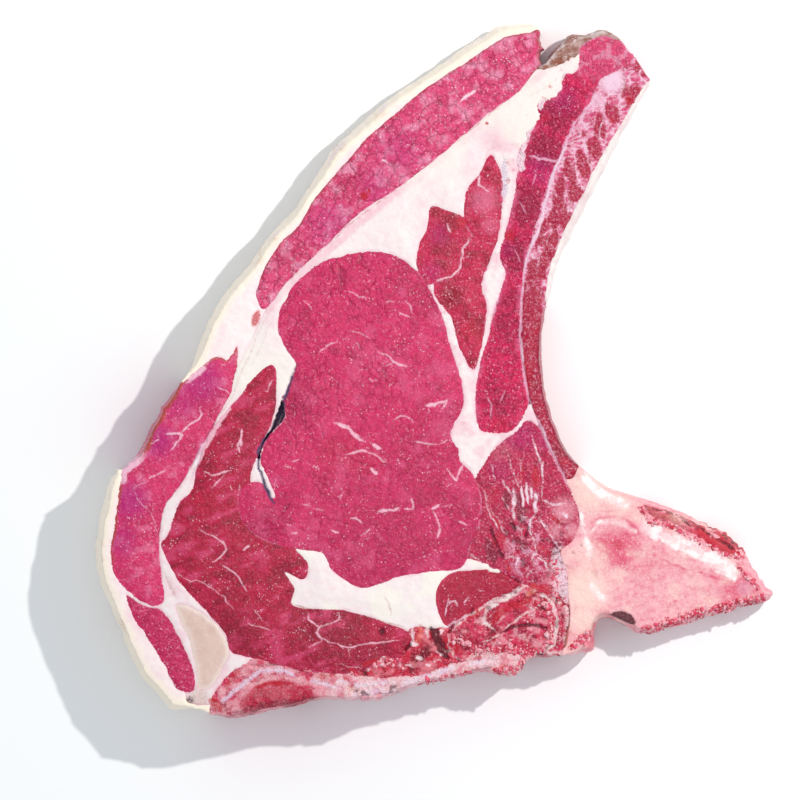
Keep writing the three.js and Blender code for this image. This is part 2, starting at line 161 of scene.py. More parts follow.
def colour(code):
    """A six-digit sRGB hex colour as the linear RGBA that Blender's sockets take."""
    shares = [int(code[i:i + 2], 16) / 255 for i in (0, 2, 4)]
    linear = [s / 12.92 if s <= 0.04045 else ((s + 0.055) / 1.055) ** 2.4 for s in shares]
    return (*linear, 1.0)


def smooth_share(value, low, high):
    share = np.clip((value - low) / (high - low), 0, 1)
    return share * share * (3 - 2 * share)


# Seeded noise over the cut face

# The steps and the gain only have to scatter whole-number cells evenly over 0 to 1.
HASH_ACROSS = 127.1
HASH_UP = 311.7
HASH_SEED = 74.7
HASH_GAIN = 43758.5453
LAYER_SEED = 17
LAYERS_SUM = 1.5


def lattice(cells, seed):
    """A number from 0 to 1 for each whole-number cell, the same on every run."""
    mixed = np.sin(cells[..., 0] * HASH_ACROSS + cells[..., 1] * HASH_UP + seed * HASH_SEED) * HASH_GAIN
    return mixed - np.floor(mixed)


def noise(place, size, seed=0):
    """Soft noise from -1 to 1 whose bumps are about `size` millimetres across."""
    spread = place / size
    corner = np.floor(spread)
    inside = spread - corner
    ease = inside * inside * (3 - 2 * inside)
    values = [lattice(corner + [dx, dy], seed) for dx, dy in ((0, 0), (1, 0), (0, 1), (1, 1))]
    low = values[0] + (values[1] - values[0]) * ease[:, 0]
    high = values[2] + (values[3] - values[2]) * ease[:, 0]
    return 2 * (low + (high - low) * ease[:, 1]) - 1


def rough_noise(place, size, seed=0, layers=3):
    """Noise with finer and fainter layers on top."""
    total = sum(noise(place, size / 2 ** k, seed + LAYER_SEED * k) / 2 ** k for k in range(layers))
    return total / LAYERS_SUM


def drift(place, size, seed, kind=rough_noise):
    """Two noises side by side, to shift places by."""
    return np.stack([kind(place, size, seed), kind(place, size, seed + 1)], -1)


def turned(place, angle):
    """Places in axes turned by `angle` degrees, for grain that runs one way."""
    cosine, sine = math.cos(math.radians(angle)), math.sin(math.radians(angle))
    return place @ np.array([[cosine, -sine], [sine, cosine]])


def cell_borders(place, size, seed=0, stretch=(1, 1), angle=0):
    """How far a point lies from the border between two irregular cells, as a share of `size`."""
    warped = place + CELL_WARP * size * drift(place, size, seed + 1, noise)
    spread = turned(warped, angle) / (size * np.array(stretch))
    home = np.floor(spread)
    nearest = np.full(len(place), BEYOND_ANY_CELL)
    second = np.full(len(place), BEYOND_ANY_CELL)
    for dx in (-1, 0, 1):
        for dy in (-1, 0, 1):
            cell = home + [dx, dy]
            seedling = cell + np.stack([lattice(cell, seed), lattice(cell, seed + 5)], -1)
            away = np.linalg.norm(spread - seedling, axis=1)
            second = np.where(away < nearest, nearest, np.minimum(second, away))
            nearest = np.minimum(nearest, away)
    return second - nearest


def lines_between(borders, width):
    """1 on the borders of the cells, fading over `width`."""
    return 1 - smooth_share(borders, 0, width)


def blotches(place, size, seed, low, high):
    """Soft blotches `size` millimetres across: 0 where the noise is under `low`, 1 over `high`."""
    return smooth_share(rough_noise(place, size, seed), low, high)


def near_rim(rim, full, none):
    """1 up to `full` millimetres from a piece's rim, fading to 0 at `none`."""
    return 1 - smooth_share(rim, full, none)


def strongest(*masks):
    """Masks laid over each other, the strongest one showing."""
    return np.maximum.reduce(masks)


# Masks painted on a piece: strokes, spots and areas given in the photograph's pixels

def points_of(numbers):
    """The places on the steak of x, y, x, y and so on in the photograph's pixels."""
    return on_steak(np.reshape(numbers, (-1, 2)))


def scaled(strokes, share):
    """The same strokes, broader or narrower."""
    return [(share * width, *pixels) for width, *pixels in strokes]


def stroke_mask(plan, strokes, blur=0.35, taper=0.35):
    """1 on each crooked stroke, thinner at its ends: its width in pixels, then its points' x and y."""
    mask = np.zeros(len(plan))
    for width, *pixels in strokes:
        half = 0.5 * width * MM_PER_PIXEL
        points = points_of(pixels)
        reach = (1 + UNEVEN_WIDTH) * half + 2 * blur + STROKE_WOBBLE
        low, high = points.min(axis=0) - reach, points.max(axis=0) + reach
        near = np.flatnonzero(((plan > low) & (plan < high)).all(axis=1))
        if not len(near):
            continue
        steps = np.linalg.norm(np.diff(points, axis=0), axis=1)
        total = steps.sum()
        away = np.full(len(near), np.inf)
        run = np.zeros(len(near))
        crooked = plan[near] + STROKE_WOBBLE * drift(plan[near], 2.2, 3, noise)
        for number, (start, end) in enumerate(zip(points[:-1], points[1:])):
            along = end - start
            offset = crooked - start
            share = np.clip(offset @ along / (along @ along), 0, 1)
            gap = np.linalg.norm(offset - share[:, None] * along, axis=1)
            closer = gap < away
            away = np.where(closer, gap, away)
            run = np.where(closer, (steps[:number].sum() + share * steps[number]) / total, run)
        fade = np.clip(np.minimum(run, 1 - run) / TAPERED_SHARE + taper, 0, 1)
        halves = half * (fade * (1 + UNEVEN_WIDTH * rough_noise(plan[near], 1.5, 2)))
        mask[near] = np.maximum(mask[near], 1 - smooth_share(away, halves - blur, halves + blur))
    return mask


def spot_mask(plan, spots):
    """Soft round spots, each its centre and radius in pixels and its strength."""
    mask = np.zeros(len(plan))
    for x, y, radius, strength in spots:
        away = np.linalg.norm(plan - on_steak((x, y)), axis=1) / (radius * MM_PER_PIXEL)
        mask = np.maximum(mask, strength * (1 - smooth_share(away, *SPOT_EDGE)))
    return mask


def ellipse_mask(plan, ellipses):
    """Soft ellipses: centre, half-length and half-width in pixels, and the turn in degrees."""
    mask = np.zeros(len(plan))
    for x, y, length, width, turn in ellipses:
        offset = turned((plan - on_steak((x, y))) / MM_PER_PIXEL, turn)
        away = np.hypot(offset[:, 0] / length, offset[:, 1] / width)
        mask = np.maximum(mask, 1 - smooth_share(away, *ELLIPSE_EDGE))
    return mask


def inside_loops(place, loops):
    """Even-odd test for a few points."""
    starts = np.vstack(loops)
    ends = np.vstack([np.roll(loop, -1, axis=0) for loop in loops])
    spans = (starts[:, 1] <= place[:, 1:2]) != (ends[:, 1] <= place[:, 1:2])
    rise = np.where(ends[:, 1] == starts[:, 1], TINY, ends[:, 1] - starts[:, 1])
    crossing = starts[:, 0] + (place[:, 1:2] - starts[:, 1]) * (ends[:, 0] - starts[:, 0]) / rise
    return (spans & (place[:, :1] < crossing)).sum(axis=1) % 2 == 1


def inside_loop(plan, loop):
    """Even-odd test for many points, tried only in the loop's own box."""
    within = np.zeros(len(plan), bool)
    near = np.flatnonzero(((plan >= loop.min(axis=0)) & (plan <= loop.max(axis=0))).all(axis=1))
    for start in range(0, len(near), POINTS_AT_ONCE):
        part = near[start:start + POINTS_AT_ONCE]
        within[part] = inside_loops(plan[part], [loop])
    return within


def area_mask(plan, pixels, blur=0.6):
    """1 inside a closed outline, fading over `blur` millimetres at its edge."""
    loop = even_points(on_steak(pixels), AREA_EDGE_STEP)
    mask = np.zeros(len(plan))
    near = ((plan > loop.min(axis=0) - blur) & (plan < loop.max(axis=0) + blur)).all(axis=1)
    if near.any():
        places = plan[near]
        away = distances(tree_of(loop), places) * np.where(inside_loop(places, loop), 1, -1)
        mask[near] = smooth_share(away, -blur, blur)
    return mask


def crumbled(mask, plan, size, amount, seed):
    """Breaks a soft mask up into crumbs."""
    return mask * smooth_share(mask + amount * rough_noise(plan, size, seed), *CRUMBLED_EDGE)


def scattered_veins(seed, count, box, heading, spread, lengths, widths):
    """Seeded short crooked veins over a box of pixels."""
    rng = np.random.default_rng(seed)
    left, top, right, bottom = box
    strokes = []
    for _ in range(count):
        point = np.array([rng.uniform(left, right), rng.uniform(top, bottom)])
        turn = math.radians(heading) + rng.normal(0, math.radians(spread))
        length = rng.uniform(*lengths)
        pixels = [*point]
        for _ in range(VEIN_PARTS):
            turn += rng.normal(0, VEIN_WANDER)
            point = point + length / VEIN_PARTS * np.array([math.cos(turn), math.sin(turn)])
            pixels += [*point]
        strokes.append((rng.uniform(*widths), *pixels))
    return strokes


# Strokes are a width and then the x and y of each point. Ellipses are the centre's x and y, the
# half-length, the half-width and the turn in degrees. Areas are their corners.
EYE_VEINS = [
    (1.8, 304, 301, 312, 309), (2.0, 348, 291, 360, 296, 368, 298), (1.4, 385, 303, 390, 301, 394, 303),
    (1.8, 405, 300, 410, 305, 412, 312), (1.4, 399, 316, 401, 314, 412, 317),
    (1.8, 319, 352, 327, 346, 337, 342, 338, 337), (1.6, 350, 331, 360, 333, 370, 338),
    (1.4, 356, 342, 360, 350), (2.6, 378, 351, 386, 354, 394, 362, 408, 367), (1.4, 385, 367, 394, 362),
    (1.4, 369, 378, 372, 381, 378, 381), (4.0, 425, 405, 436, 404, 447, 401),
    (2.2, 438, 404, 447, 400, 443, 409), (1.6, 393, 421, 400, 415, 411, 419, 414, 423),
    (4.0, 334, 422, 348, 427, 356, 435, 363, 442), (4.4, 372, 444, 380, 448),
    (2.6, 345, 455, 361, 451, 375, 454, 386, 462), (1.8, 414, 441, 428, 444, 438, 445),
    (1.4, 438, 445, 448, 440), (4.0, 370, 469, 378, 473), (1.4, 314, 465, 319, 471),
    (1.4, 292, 461, 299, 459), (1.4, 284, 466, 291, 467), (3.6, 378, 512, 386, 511, 400, 508),
    (2.4, 404, 509, 413, 508, 413, 505, 411, 499), (3.0, 431, 509, 440, 505),
    (2.6, 433, 511, 439, 523, 440, 530, 437, 538), (1.4, 442, 507, 453, 504),
    (2.6, 458, 521, 463, 522, 467, 526), (2.4, 350, 518, 357, 518, 362, 523), (3.0, 331, 530, 338, 533),
    (2.4, 291, 532, 298, 532), (1.6, 303, 505, 311, 505), (1.4, 316, 509, 323, 511),
    (1.4, 340, 498, 343, 491), (1.4, 361, 536, 371, 529),
    (2.4, 447, 469, 450, 474, 455, 480, 459, 473, 463, 464),
]
# The eye's cracks, painted dark as the shade in them.
EYE_CRACKS = [
    (1.4, 342, 256, 353, 259, 368, 269, 365, 279, 368, 285), (1.2, 379, 255, 386, 265),
    (1.2, 333, 277, 331, 289, 327, 306), (1.6, 304, 389, 312, 376, 322, 364, 327, 359),
    (1.2, 324, 376, 323, 390, 319, 398), (1.2, 304, 415, 306, 432), (1.2, 318, 420, 322, 430, 324, 440),
    (1.4, 288, 421, 291, 431, 297, 441, 295, 448), (1.4, 250, 497, 258, 500),
    (2.0, 276, 521, 283, 513, 291, 502), (1.2, 319, 512, 319, 529, 317, 545),
    (1.8, 260, 532, 273, 529, 287, 527), (1.2, 408, 262, 424, 288, 440, 318),
    (1.4, 300, 520, 322, 516, 345, 524), (1.2, 330, 455, 352, 459, 380, 470),
    (1.2, 340, 375, 336, 395, 341, 410),
]
# The crevice between the eye and the cap, painted as its shade along the whole line, also where the face
# is not sunken.
CREVICE_LINE = [
    (2.4, 297, 364, 291, 380, 286, 396, 280, 410), (5.0, 284, 400, 281, 412, 272, 428),
    (3.2, 276, 424, 266, 437, 259, 450, 258, 464, 263, 480, 271, 499, 275, 503),
]
CAP_VEINS = [
    (4.4, 243, 428, 242, 438, 241, 446), (2.8, 242, 438, 238, 445, 240, 452),
    (1.6, 272, 380, 268, 387, 267, 391, 263, 391),
    (2.2, 205, 471, 212, 475, 219, 473, 224, 471, 232, 470), (1.8, 212, 489, 218, 481, 225, 474),
    (1.4, 231, 485, 233, 491), (1.4, 240, 485, 240, 491), (1.8, 200, 529, 211, 534),
    (2.4, 209, 533, 218, 538, 224, 543, 227, 548, 224, 554, 218, 559, 212, 561),
    (3.6, 243, 549, 250, 546), (2.2, 223, 565, 235, 572, 240, 578, 244, 585, 248, 590),
    (1.4, 178, 573, 191, 582, 197, 580, 207, 583, 216, 590, 224, 596, 230, 604, 237, 613),
    (1.4, 248, 621, 253, 624, 260, 626, 271, 630), (1.2, 255, 609, 260, 615, 264, 621),
    (2.2, 308, 611, 309, 619, 319, 626, 316, 632, 323, 639, 333, 642),
    (2.2, 331, 642, 349, 647, 362, 644, 382, 642, 400, 640),
    (1.8, 317, 627, 329, 623, 340, 619, 339, 611), (1.4, 323, 640, 309, 647), (1.4, 349, 647, 350, 657),
    (1.2, 336, 663, 350, 666, 362, 668),
]
OUTER_LEFT_VEINS = [
    (3.4, 166, 434, 176, 433, 184, 436), (2.8, 176, 433, 183, 435, 177, 442, 171, 452),
    (2.8, 181, 434, 190, 425, 199, 420, 203, 414, 200, 409), (1.6, 151, 444, 160, 439),
    (2.0, 149, 478, 161, 472, 167, 470), (2.0, 218, 388, 226, 391, 231, 395),
    (1.2, 134, 488, 140, 500, 150, 512), (1.0, 150, 512, 156, 522, 158, 534), (1.0, 134, 488, 150, 480),
]
FASCIA_BAND = [(6.0, 236, 394, 218, 425, 206, 445, 199, 458, 190, 474)]
FASCIA_SHADE = [(1.6, 230, 399, 213, 426, 200, 450, 188, 475, 170, 501, 161, 524, 158, 545)]
BACK_VEINS = [(3.2, 461, 100, 469, 94, 476, 90), (1.8, 383, 160, 387, 162)]
OVAL_VEINS = [
    (1.8, 450, 606, 450, 601, 455, 601, 458, 606), (1.4, 468, 597, 464, 603),
    (1.6, 449, 597, 447, 607, 444, 616), (1.2, 478, 590, 484, 591),
]
BACK_TENDON = [
    (7.0, 544, 72, 524, 90, 490, 118, 458, 144, 424, 172, 386, 201, 348, 232, 318, 260, 290, 286, 268,
     311),
]
BACK_TENDON_EDGE = [
    (1.8, 540, 72, 522, 88, 488, 115, 458, 140, 422, 169, 384, 198, 345, 229, 314, 257, 286, 283, 266,
     308),
]
SMALL_LOBE = [(256, 318.5, 10.5, 4.8, 72)]
RIB_ELLIPSES = [
    (633.5, 94, 12.5, 5, 68), (612.5, 112, 10.5, 5, 110), (600.5, 127, 11, 4.2, 96),
    (595, 147, 9.5, 5.5, 120), (583, 164, 14, 5.2, 110), (570, 169, 12.5, 5, 105),
    (575, 191, 10, 6, 100), (624, 88, 9, 2.4, 85), (585, 133, 3, 2.4, 90), (560, 190, 12, 5, 75),
    (558, 214, 16, 6.5, 72), (566, 222, 9, 4, 70), (551, 244, 15, 6.5, 74), (541, 236, 10, 4, 75),
    (541, 268, 15, 5, 78), (532, 272, 14, 4.5, 78), (536, 300, 18, 6, 85), (527, 305, 18, 4, 85),
    (640, 64, 7, 4, 40), (646, 72, 5, 3, 40), (606, 72, 7, 4, 30),
]
RIB_SEPTUM = [
    (3.4, 602, 86, 600, 90, 594, 99, 584, 113, 574, 124, 568, 138, 562, 153, 554, 172, 546, 200, 539,
     228, 526, 258, 523, 280), (3.0, 524, 275, 521, 300, 520, 335, 522, 362, 527, 390, 532, 410),
]
RIB_FILMS = [
    (1.8, 604, 112, 600, 135, 604, 150), (1.8, 582, 133, 585, 150, 592, 172, 590, 186),
    (1.6, 575, 150, 576, 172, 584, 190), (1.6, 620, 66, 624, 84, 618, 108, 622, 118),
    (1.4, 566, 196, 562, 212), (1.4, 572, 200, 568, 214), (1.4, 552, 228, 546, 246),
    (1.4, 560, 236, 556, 250), (1.4, 540, 256, 536, 268), (1.2, 544, 282, 540, 298),
]
STRIP_FILM = [(3.4, 534, 412, 541, 428, 549, 447, 556, 462, 564, 478, 572, 492)]
RIB_SAWN_END = [(566, 60), (580, 42), (604, 30), (642, 55), (628, 74), (600, 82), (578, 76)]
RIB_RAGGED_SIDE = [(10.0, 572, 64, 558, 78, 542, 100, 532, 118, 524, 140, 519, 168)]
RIB_INNER_FILMS = [
    (2.6, 530, 156, 541, 158, 552, 160, 562, 160), (2.0, 500, 288, 497, 303, 493, 318),
    (1.4, 520, 200, 527, 215), (1.2, 515, 250, 520, 262), (1.6, 537, 172, 532, 186),
    (1.6, 487, 395, 492, 405, 490, 418), (1.2, 505, 390, 500, 402),
]

# The corner where meat and sawn bone meet is painted as one, whichever piece a mark falls on.
CORNER_FAT = [
    (2.8, 531, 433, 534, 445, 538, 455, 543, 465, 543, 480, 542, 495, 540, 502),
    (2.0, 508, 455, 514, 476, 519, 487), (1.8, 490, 462, 495, 479), (2.4, 501, 479, 510, 492, 513, 502),
    (4.4, 513, 487, 514, 500, 514, 520), (5.5, 535, 493, 536, 502, 535, 513),
    (3.4, 539, 508, 531, 519, 528, 531), (2.6, 541, 520, 549, 533, 558, 548),
    (1.6, 500, 495, 507, 505, 513, 515), (1.8, 488, 505, 497, 518, 502, 529, 509, 541),
    (1.6, 520, 460, 522, 472), (2.6, 528, 528, 534, 540, 536, 553, 531, 561),
    (3.0, 542, 500, 552, 505, 566, 503), (2.4, 505, 559, 512, 555, 519, 558, 514, 569),
    (2.2, 526, 578, 530, 571, 538, 567), (3.0, 470, 553, 478, 560, 484, 566),
    (2.6, 498, 529, 494, 522, 487, 508, 484, 490), (3.0, 536, 556, 545, 563, 550, 572),
    (5.0, 562, 512, 567, 517), (8.0, 522, 588, 506, 598, 492, 604, 485, 612),
    (4.0, 485, 612, 484, 622, 496, 631),
    (6.5, 538, 594, 548, 599, 555, 611, 557, 628, 553, 642, 545, 652),
    (3.4, 503, 629, 515, 622, 526, 613, 537, 608), (3.0, 480, 643, 490, 640, 500, 634),
    (4.0, 411, 624, 414, 642), (4.0, 445, 628, 456, 622, 470, 613), (2.4, 548, 636, 547, 645, 538, 652),
]
CORNER_BRIGHT = [(2.6, 521, 486, 523, 506), (3.0, 526, 484, 528, 503), (2.4, 531, 487, 532, 500)]
# Painted shade in the cracks, gaps and holes of the bony corner, with a few truly dark bits of meat.
CORNER_DARK = [
    (3.0, 490, 527, 497, 545, 503, 560), (4.0, 512, 523, 515, 532), (2.4, 517, 516, 528, 527, 524, 540),
    (4.0, 500, 632, 515, 626, 532, 625, 554, 629), (3.0, 540, 607, 545, 610),
    (2.0, 548, 556, 562, 551, 566, 546), (2.0, 560, 561, 563, 564),
    (9.0, 431, 627, 437, 637, 441, 648, 448, 658), (2.4, 448, 634, 455, 623), (3.0, 405, 652, 411, 642),
    (2.0, 519, 583, 514, 578), (3.4, 363, 670, 367, 676), (1.6, 552, 641, 544, 653),
    (2.0, 470, 614, 473, 609), (3.0, 536, 655, 546, 655),
]
CORNER_GLOOM = [
    (11.0, 488, 540, 492, 552, 494, 562), (10.0, 432, 646, 420, 656, 411, 670),
    (6.0, 505, 490, 507, 508), (5.0, 518, 492, 519, 512), (7.0, 520, 505, 522, 524),
    (9.0, 524, 543, 527, 552), (6.0, 485, 645, 500, 636),
]
CORNER_BLOOD = [
    (7.0, 535, 468, 537, 488), (4.0, 523, 465, 523, 480), (5.0, 491, 512, 500, 528),
    (7.0, 548, 516, 560, 522), (6.0, 505, 562, 510, 570), (6.0, 530, 585, 545, 588, 558, 586),
    (9.0, 491, 624, 500, 612, 515, 605, 530, 601), (16.0, 447, 642, 458, 650),
    (7.0, 468, 618, 480, 612), (5.0, 540, 545, 552, 556), (4.0, 503, 542, 510, 552),
    (8.0, 365, 664, 376, 661, 390, 662, 403, 660), (6.0, 350, 669, 360, 673), (5.0, 575, 641, 584, 635),
    (7.0, 558, 598, 563, 606),
]
CORNER_ORANGE = [
    (7.0, 421, 627, 418, 642), (12.0, 497, 671, 512, 672), (5.0, 474, 612, 479, 611),
    (8.0, 536, 586, 528, 595),
]
CORNER_CRUMBS = [(556, 540), (572, 548), (571, 606), (550, 600), (552, 575), (548, 560)]
CORNER_NODULES = [
    (500, 520), (522, 510), (545, 505), (572, 515), (566, 545), (550, 560), (552, 585), (530, 584),
    (505, 566),
]

VERTEBRA_WHITE = [
    (5.0, 590, 532, 598, 524, 610, 521, 624, 525, 634, 532),
    (15.0, 646, 527, 665, 537, 690, 548, 712, 560, 735, 574), (10.0, 585, 480, 600, 492, 625, 505),
    (7.0, 580, 515, 586, 540, 590, 556), (8.0, 592, 585, 604, 600),
]
VERTEBRA_LINES = [
    (2.2, 589, 530, 598, 520, 612, 516, 626, 520, 636, 528, 640, 539),
    (2.0, 634, 545, 652, 556, 678, 566, 706, 575, 732, 582, 750, 592),
    (1.6, 583, 500, 600, 511, 622, 510), (1.6, 590, 545, 592, 560, 598, 580),
]
VERTEBRA_RED_RIM = [
    (10.0, 642, 631, 665, 625, 690, 617, 712, 611, 738, 604, 764, 599),
    (7.0, 570, 648, 580, 642, 588, 634), (5.0, 738, 566, 748, 578, 760, 588),
    (3.0, 640, 508, 650, 520, 656, 530),
]
VERTEBRA_MEAT = [
    (640, 500), (669, 506), (695, 518), (722, 531), (745, 549), (746, 557), (730, 555), (716, 550),
    (702, 541), (688, 532), (672, 524), (655, 520), (646, 512),
]
# Folds in the meat on the vertebra, painted dark as the shade in them.
VERTEBRA_MEAT_FOLDS = [
    (3.4, 692, 522, 712, 536, 742, 553), (3.0, 668, 522, 690, 533, 712, 548),
    (2.6, 650, 508, 668, 512, 690, 522), (2.6, 716, 551, 736, 556), (2.4, 644, 504, 652, 516, 664, 524),
    (2.4, 676, 512, 684, 522, 698, 530),
]
VERTEBRA_NEAR_GAP = [(566, 604), (570, 604), (570, 625), (567, 646), (560, 652), (562, 628)]
# The spinal canal, painted dark as the shade inside the hole.
VERTEBRA_CANAL = [
    (607, 617), (614, 612), (622, 611), (632, 615), (636, 622), (632, 629), (622, 625), (612, 621),
]
FEATHER_LILAC = [
    (7.0, 224, 700, 235, 690, 248, 679, 262, 670, 280, 669, 295, 674),
    (5.0, 312, 680, 326, 684, 342, 688), (6.0, 338, 680, 352, 684, 372, 684, 394, 681),
    (8.0, 405, 682, 430, 675, 455, 667, 482, 661, 497, 657),
]
FEATHER_SALMON = [(4.5, 240, 696, 252, 685, 268, 679, 285, 676, 310, 683, 332, 692)]
FEATHER_CORE = [
    (238, 703), (252, 688), (270, 680), (290, 680), (305, 687), (322, 697), (300, 702), (268, 708),
    (245, 712),
]
FEATHER_DARK = [
    (2.2, 244, 662, 262, 665, 285, 664, 300, 670, 310, 674),
    (7.0, 232, 713, 262, 706, 290, 702, 322, 697), (2.6, 462, 673, 480, 669, 495, 667),
]
FEATHER_RED = [
    (5.0, 254, 687, 270, 682, 291, 683), (7.0, 213, 698, 222, 710), (4.0, 228, 688, 232, 676, 240, 668),
    (5.0, 318, 676, 334, 674),
]
FEATHER_SPECKLED = [(10.0, 356, 693, 375, 691, 394, 688, 406, 684)]
RAGGED_EDGES = [
    (16.0, 640, 633, 665, 627, 690, 619, 712, 613, 738, 606, 768, 599),
    (12.0, 700, 520, 722, 533, 743, 550, 755, 570, 768, 590),
    (14.0, 440, 676, 480, 668, 500, 674, 520, 668, 530, 657, 560, 652, 590, 648),
    (10.0, 345, 698, 380, 697, 410, 686), (12.0, 420, 630, 440, 640, 455, 625),
    (14.0, 350, 672, 380, 660, 405, 655), (12.0, 545, 550, 560, 570, 560, 600),
    (10.0, 536, 60, 545, 40), (14.0, 570, 60, 560, 90, 535, 110, 525, 140),
    (12.0, 160, 400, 140, 440, 118, 478), (10.0, 490, 570, 520, 585, 500, 600),
]


def corner_masks(plan):
    """The marks shared by the pieces of the bony corner."""
    crumbs = area_mask(plan, CORNER_CRUMBS, 2.0)
    lumps = cell_borders(plan, 1.5, 33)
    strands = stroke_mask(plan, scaled(CORNER_FAT, 0.8), 0.6)
    blood = crumbled(stroke_mask(plan, CORNER_BLOOD, 1.2, 0.7), plan, 2.4, 0.8, 70)
    nodules = area_mask(plan, CORNER_NODULES, 1.5)
    knobs = cell_borders(plan, 3.4, 35, (1, 1.3), 60)
    return {
        "fat": strongest(
            0.9 * strands * (0.75 + 0.4 * rough_noise(plan, 1.4, 36)),
            0.9 * stroke_mask(plan, CORNER_BRIGHT, 0.6),
            0.6 * crumbled(crumbs, plan, 1.8, 0.8, 34), 0.45 * nodules * lines_between(knobs, 0.16),
        ),
        "film": 0.6 * nodules * blotches(plan, 3.0, 32, 0.1, 0.6),
        # Painted shade in the corner's cracks and holes and between its crumbs, and dark blotches on its
        # nodules.
        "dark": strongest(
            0.85 * stroke_mask(plan, CORNER_DARK, 0.6), 0.6 * crumbs * lines_between(lumps, 0.2),
            0.6 * nodules * blotches(plan, 2.4, 37, 0.1, 0.6),
        ),
        "deep": strongest(stroke_mask(plan, CORNER_GLOOM, 1.2), 0.8 * crumbs),
        "blood": strongest(0.7 * blood, 0.8 * crumbs * blotches(plan, 2.0, 41, -0.1, 0.3)),
        "stain": 0.6 * stroke_mask(plan, CORNER_ORANGE, 1.0, 0.8),
    }


def skin(plan, rim):
    """The thin pale skin around a muscle, which comes and goes."""
    return 0.75 * near_rim(rim, 0.1, 0.9) * blotches(plan, 3.5, 40, -0.6, 0.3)


def joined(first, second):
    """Two sets of masks as one, the stronger of the two wherever both have one."""
    both = dict(first)
    for name, mask in second.items():
        both[name] = np.maximum(both[name], mask) if name in both else mask
    return both


def eye_masks(plan, rim):
    faint = scattered_veins(1, 170, (240, 255, 480, 585), -35, 30, (3, 9), (0.5, 1.0))
    patches = blotches(plan, 16, 14, -0.2, 0.5)
    wrinkles = lines_between(cell_borders(plan, 3.6, 15, (0.8, 1.7), 12), 0.2)
    wrinkles = wrinkles * blotches(plan, 6, 69, -0.5, 0.2)
    upper = smooth_share(plan[:, 1], -55, -10) * smooth_share(-plan[:, 0], -5, 20)
    return {
        "fat": 0.8 * stroke_mask(plan, scaled(EYE_VEINS, 0.9), 0.6),
        "film": strongest(0.55 * stroke_mask(plan, faint, 0.35) * patches, skin(plan, rim)),
        # Painted shade in the cracks and in a net of wrinkles.
        "dark": strongest(0.6 * stroke_mask(plan, EYE_CRACKS, 0.5),
                          0.5 * wrinkles * (0.2 + 0.8 * upper)),
        "crevice": stroke_mask(plan, CREVICE_LINE, 0.6),
        "deep": strongest(spot_mask(plan, [
            (290, 400, 36, 0.6), (420, 460, 50, 0.4), (350, 480, 46, 0.3), (440, 300, 24, 0.5),
            (462, 545, 28, 0.5), (265, 525, 28, 0.6), (380, 550, 80, 0.45),
        ]), 0.5 * blotches(plan, 7, 47, 0.0, 0.6)),
        "pale": 0.5 * blotches(plan, 6, 48, 0.1, 0.7),
        "blood": spot_mask(plan, [(340, 455, 34, 0.35), (370, 462, 24, 0.28), (262, 515, 18, 0.175)]),
    }


def cap_masks(plan, rim):
    faint = scattered_veins(2, 130, (160, 370, 410, 670), -25, 35, (3, 9), (0.5, 1.0))
    patches = blotches(plan, 14, 16, -0.2, 0.5)
    bundles = lines_between(cell_borders(plan, 1.9, 17), 0.16)
    corner = corner_masks(plan)
    streaks = rough_noise(turned(plan, 20) / [2.2, 1.0], 3.0, 49)
    return joined(corner, {
        "fat": strongest(0.9 * stroke_mask(plan, scaled(CAP_VEINS, 0.75), 0.45),
                         0.9 * stroke_mask(plan, FASCIA_BAND, 0.5, 0.8)),
        "film": strongest(0.55 * stroke_mask(plan, faint, 0.35) * patches, skin(plan, rim)),
        # Painted shade along the borders between bundles, and one dark spot.
        "dark": strongest(0.3 * bundles * patches, spot_mask(plan, [(382, 631, 5, 0.9)])),
        "deep": strongest(
            spot_mask(plan, [
                (230, 640, 44, 0.7), (330, 625, 54, 0.7), (250, 450, 30, 0.3), (370, 660, 30, 0.6),
            ]),
            0.6 * smooth_share(streaks, 0.0, 0.6),
        ),
        "pale": 0.8 * smooth_share(-streaks, 0.1, 0.7),
        "blood": 0.3 * spot_mask(plan, [(205, 500, 22, 1.0), (232, 400, 16, 0.8), (240, 655, 16, 1.0)]),
        "crevice": strongest(stroke_mask(plan, CREVICE_LINE, 0.5),
                             0.55 * stroke_mask(plan, FASCIA_SHADE, 0.4)),
    })


def back_masks(plan, rim):
    faint = scattered_veins(3, 300, (256, 35, 541, 310), -40, 70, (3, 8), (0.5, 1.1))
    outer_side = 1 - smooth_share(rind_distance(plan), 6, 13)
    return {
        "fat": stroke_mask(plan, BACK_VEINS, 0.4),
        "film": strongest(0.5 * stroke_mask(plan, faint, 0.3), skin(plan, rim) * (1 - outer_side)),
        "pale": 0.6 * blotches(plan, 4, 13, -0.1, 0.6),
        "stain": 0.6 * near_rim(rim, 0.2, 2.0) * outer_side,
        "purple": spot_mask(plan, [(330, 225, 30, 0.35), (400, 150, 30, 0.3), (375, 185, 26, 0.3)]),
        "blood": spot_mask(plan, [(364, 196, 6, 1.0), (369, 191, 3, 0.8)]),
        "deep": spot_mask(plan, [(345, 180, 34, 0.4), (290, 255, 26, 0.4), (500, 70, 24, 0.2)]),
    }


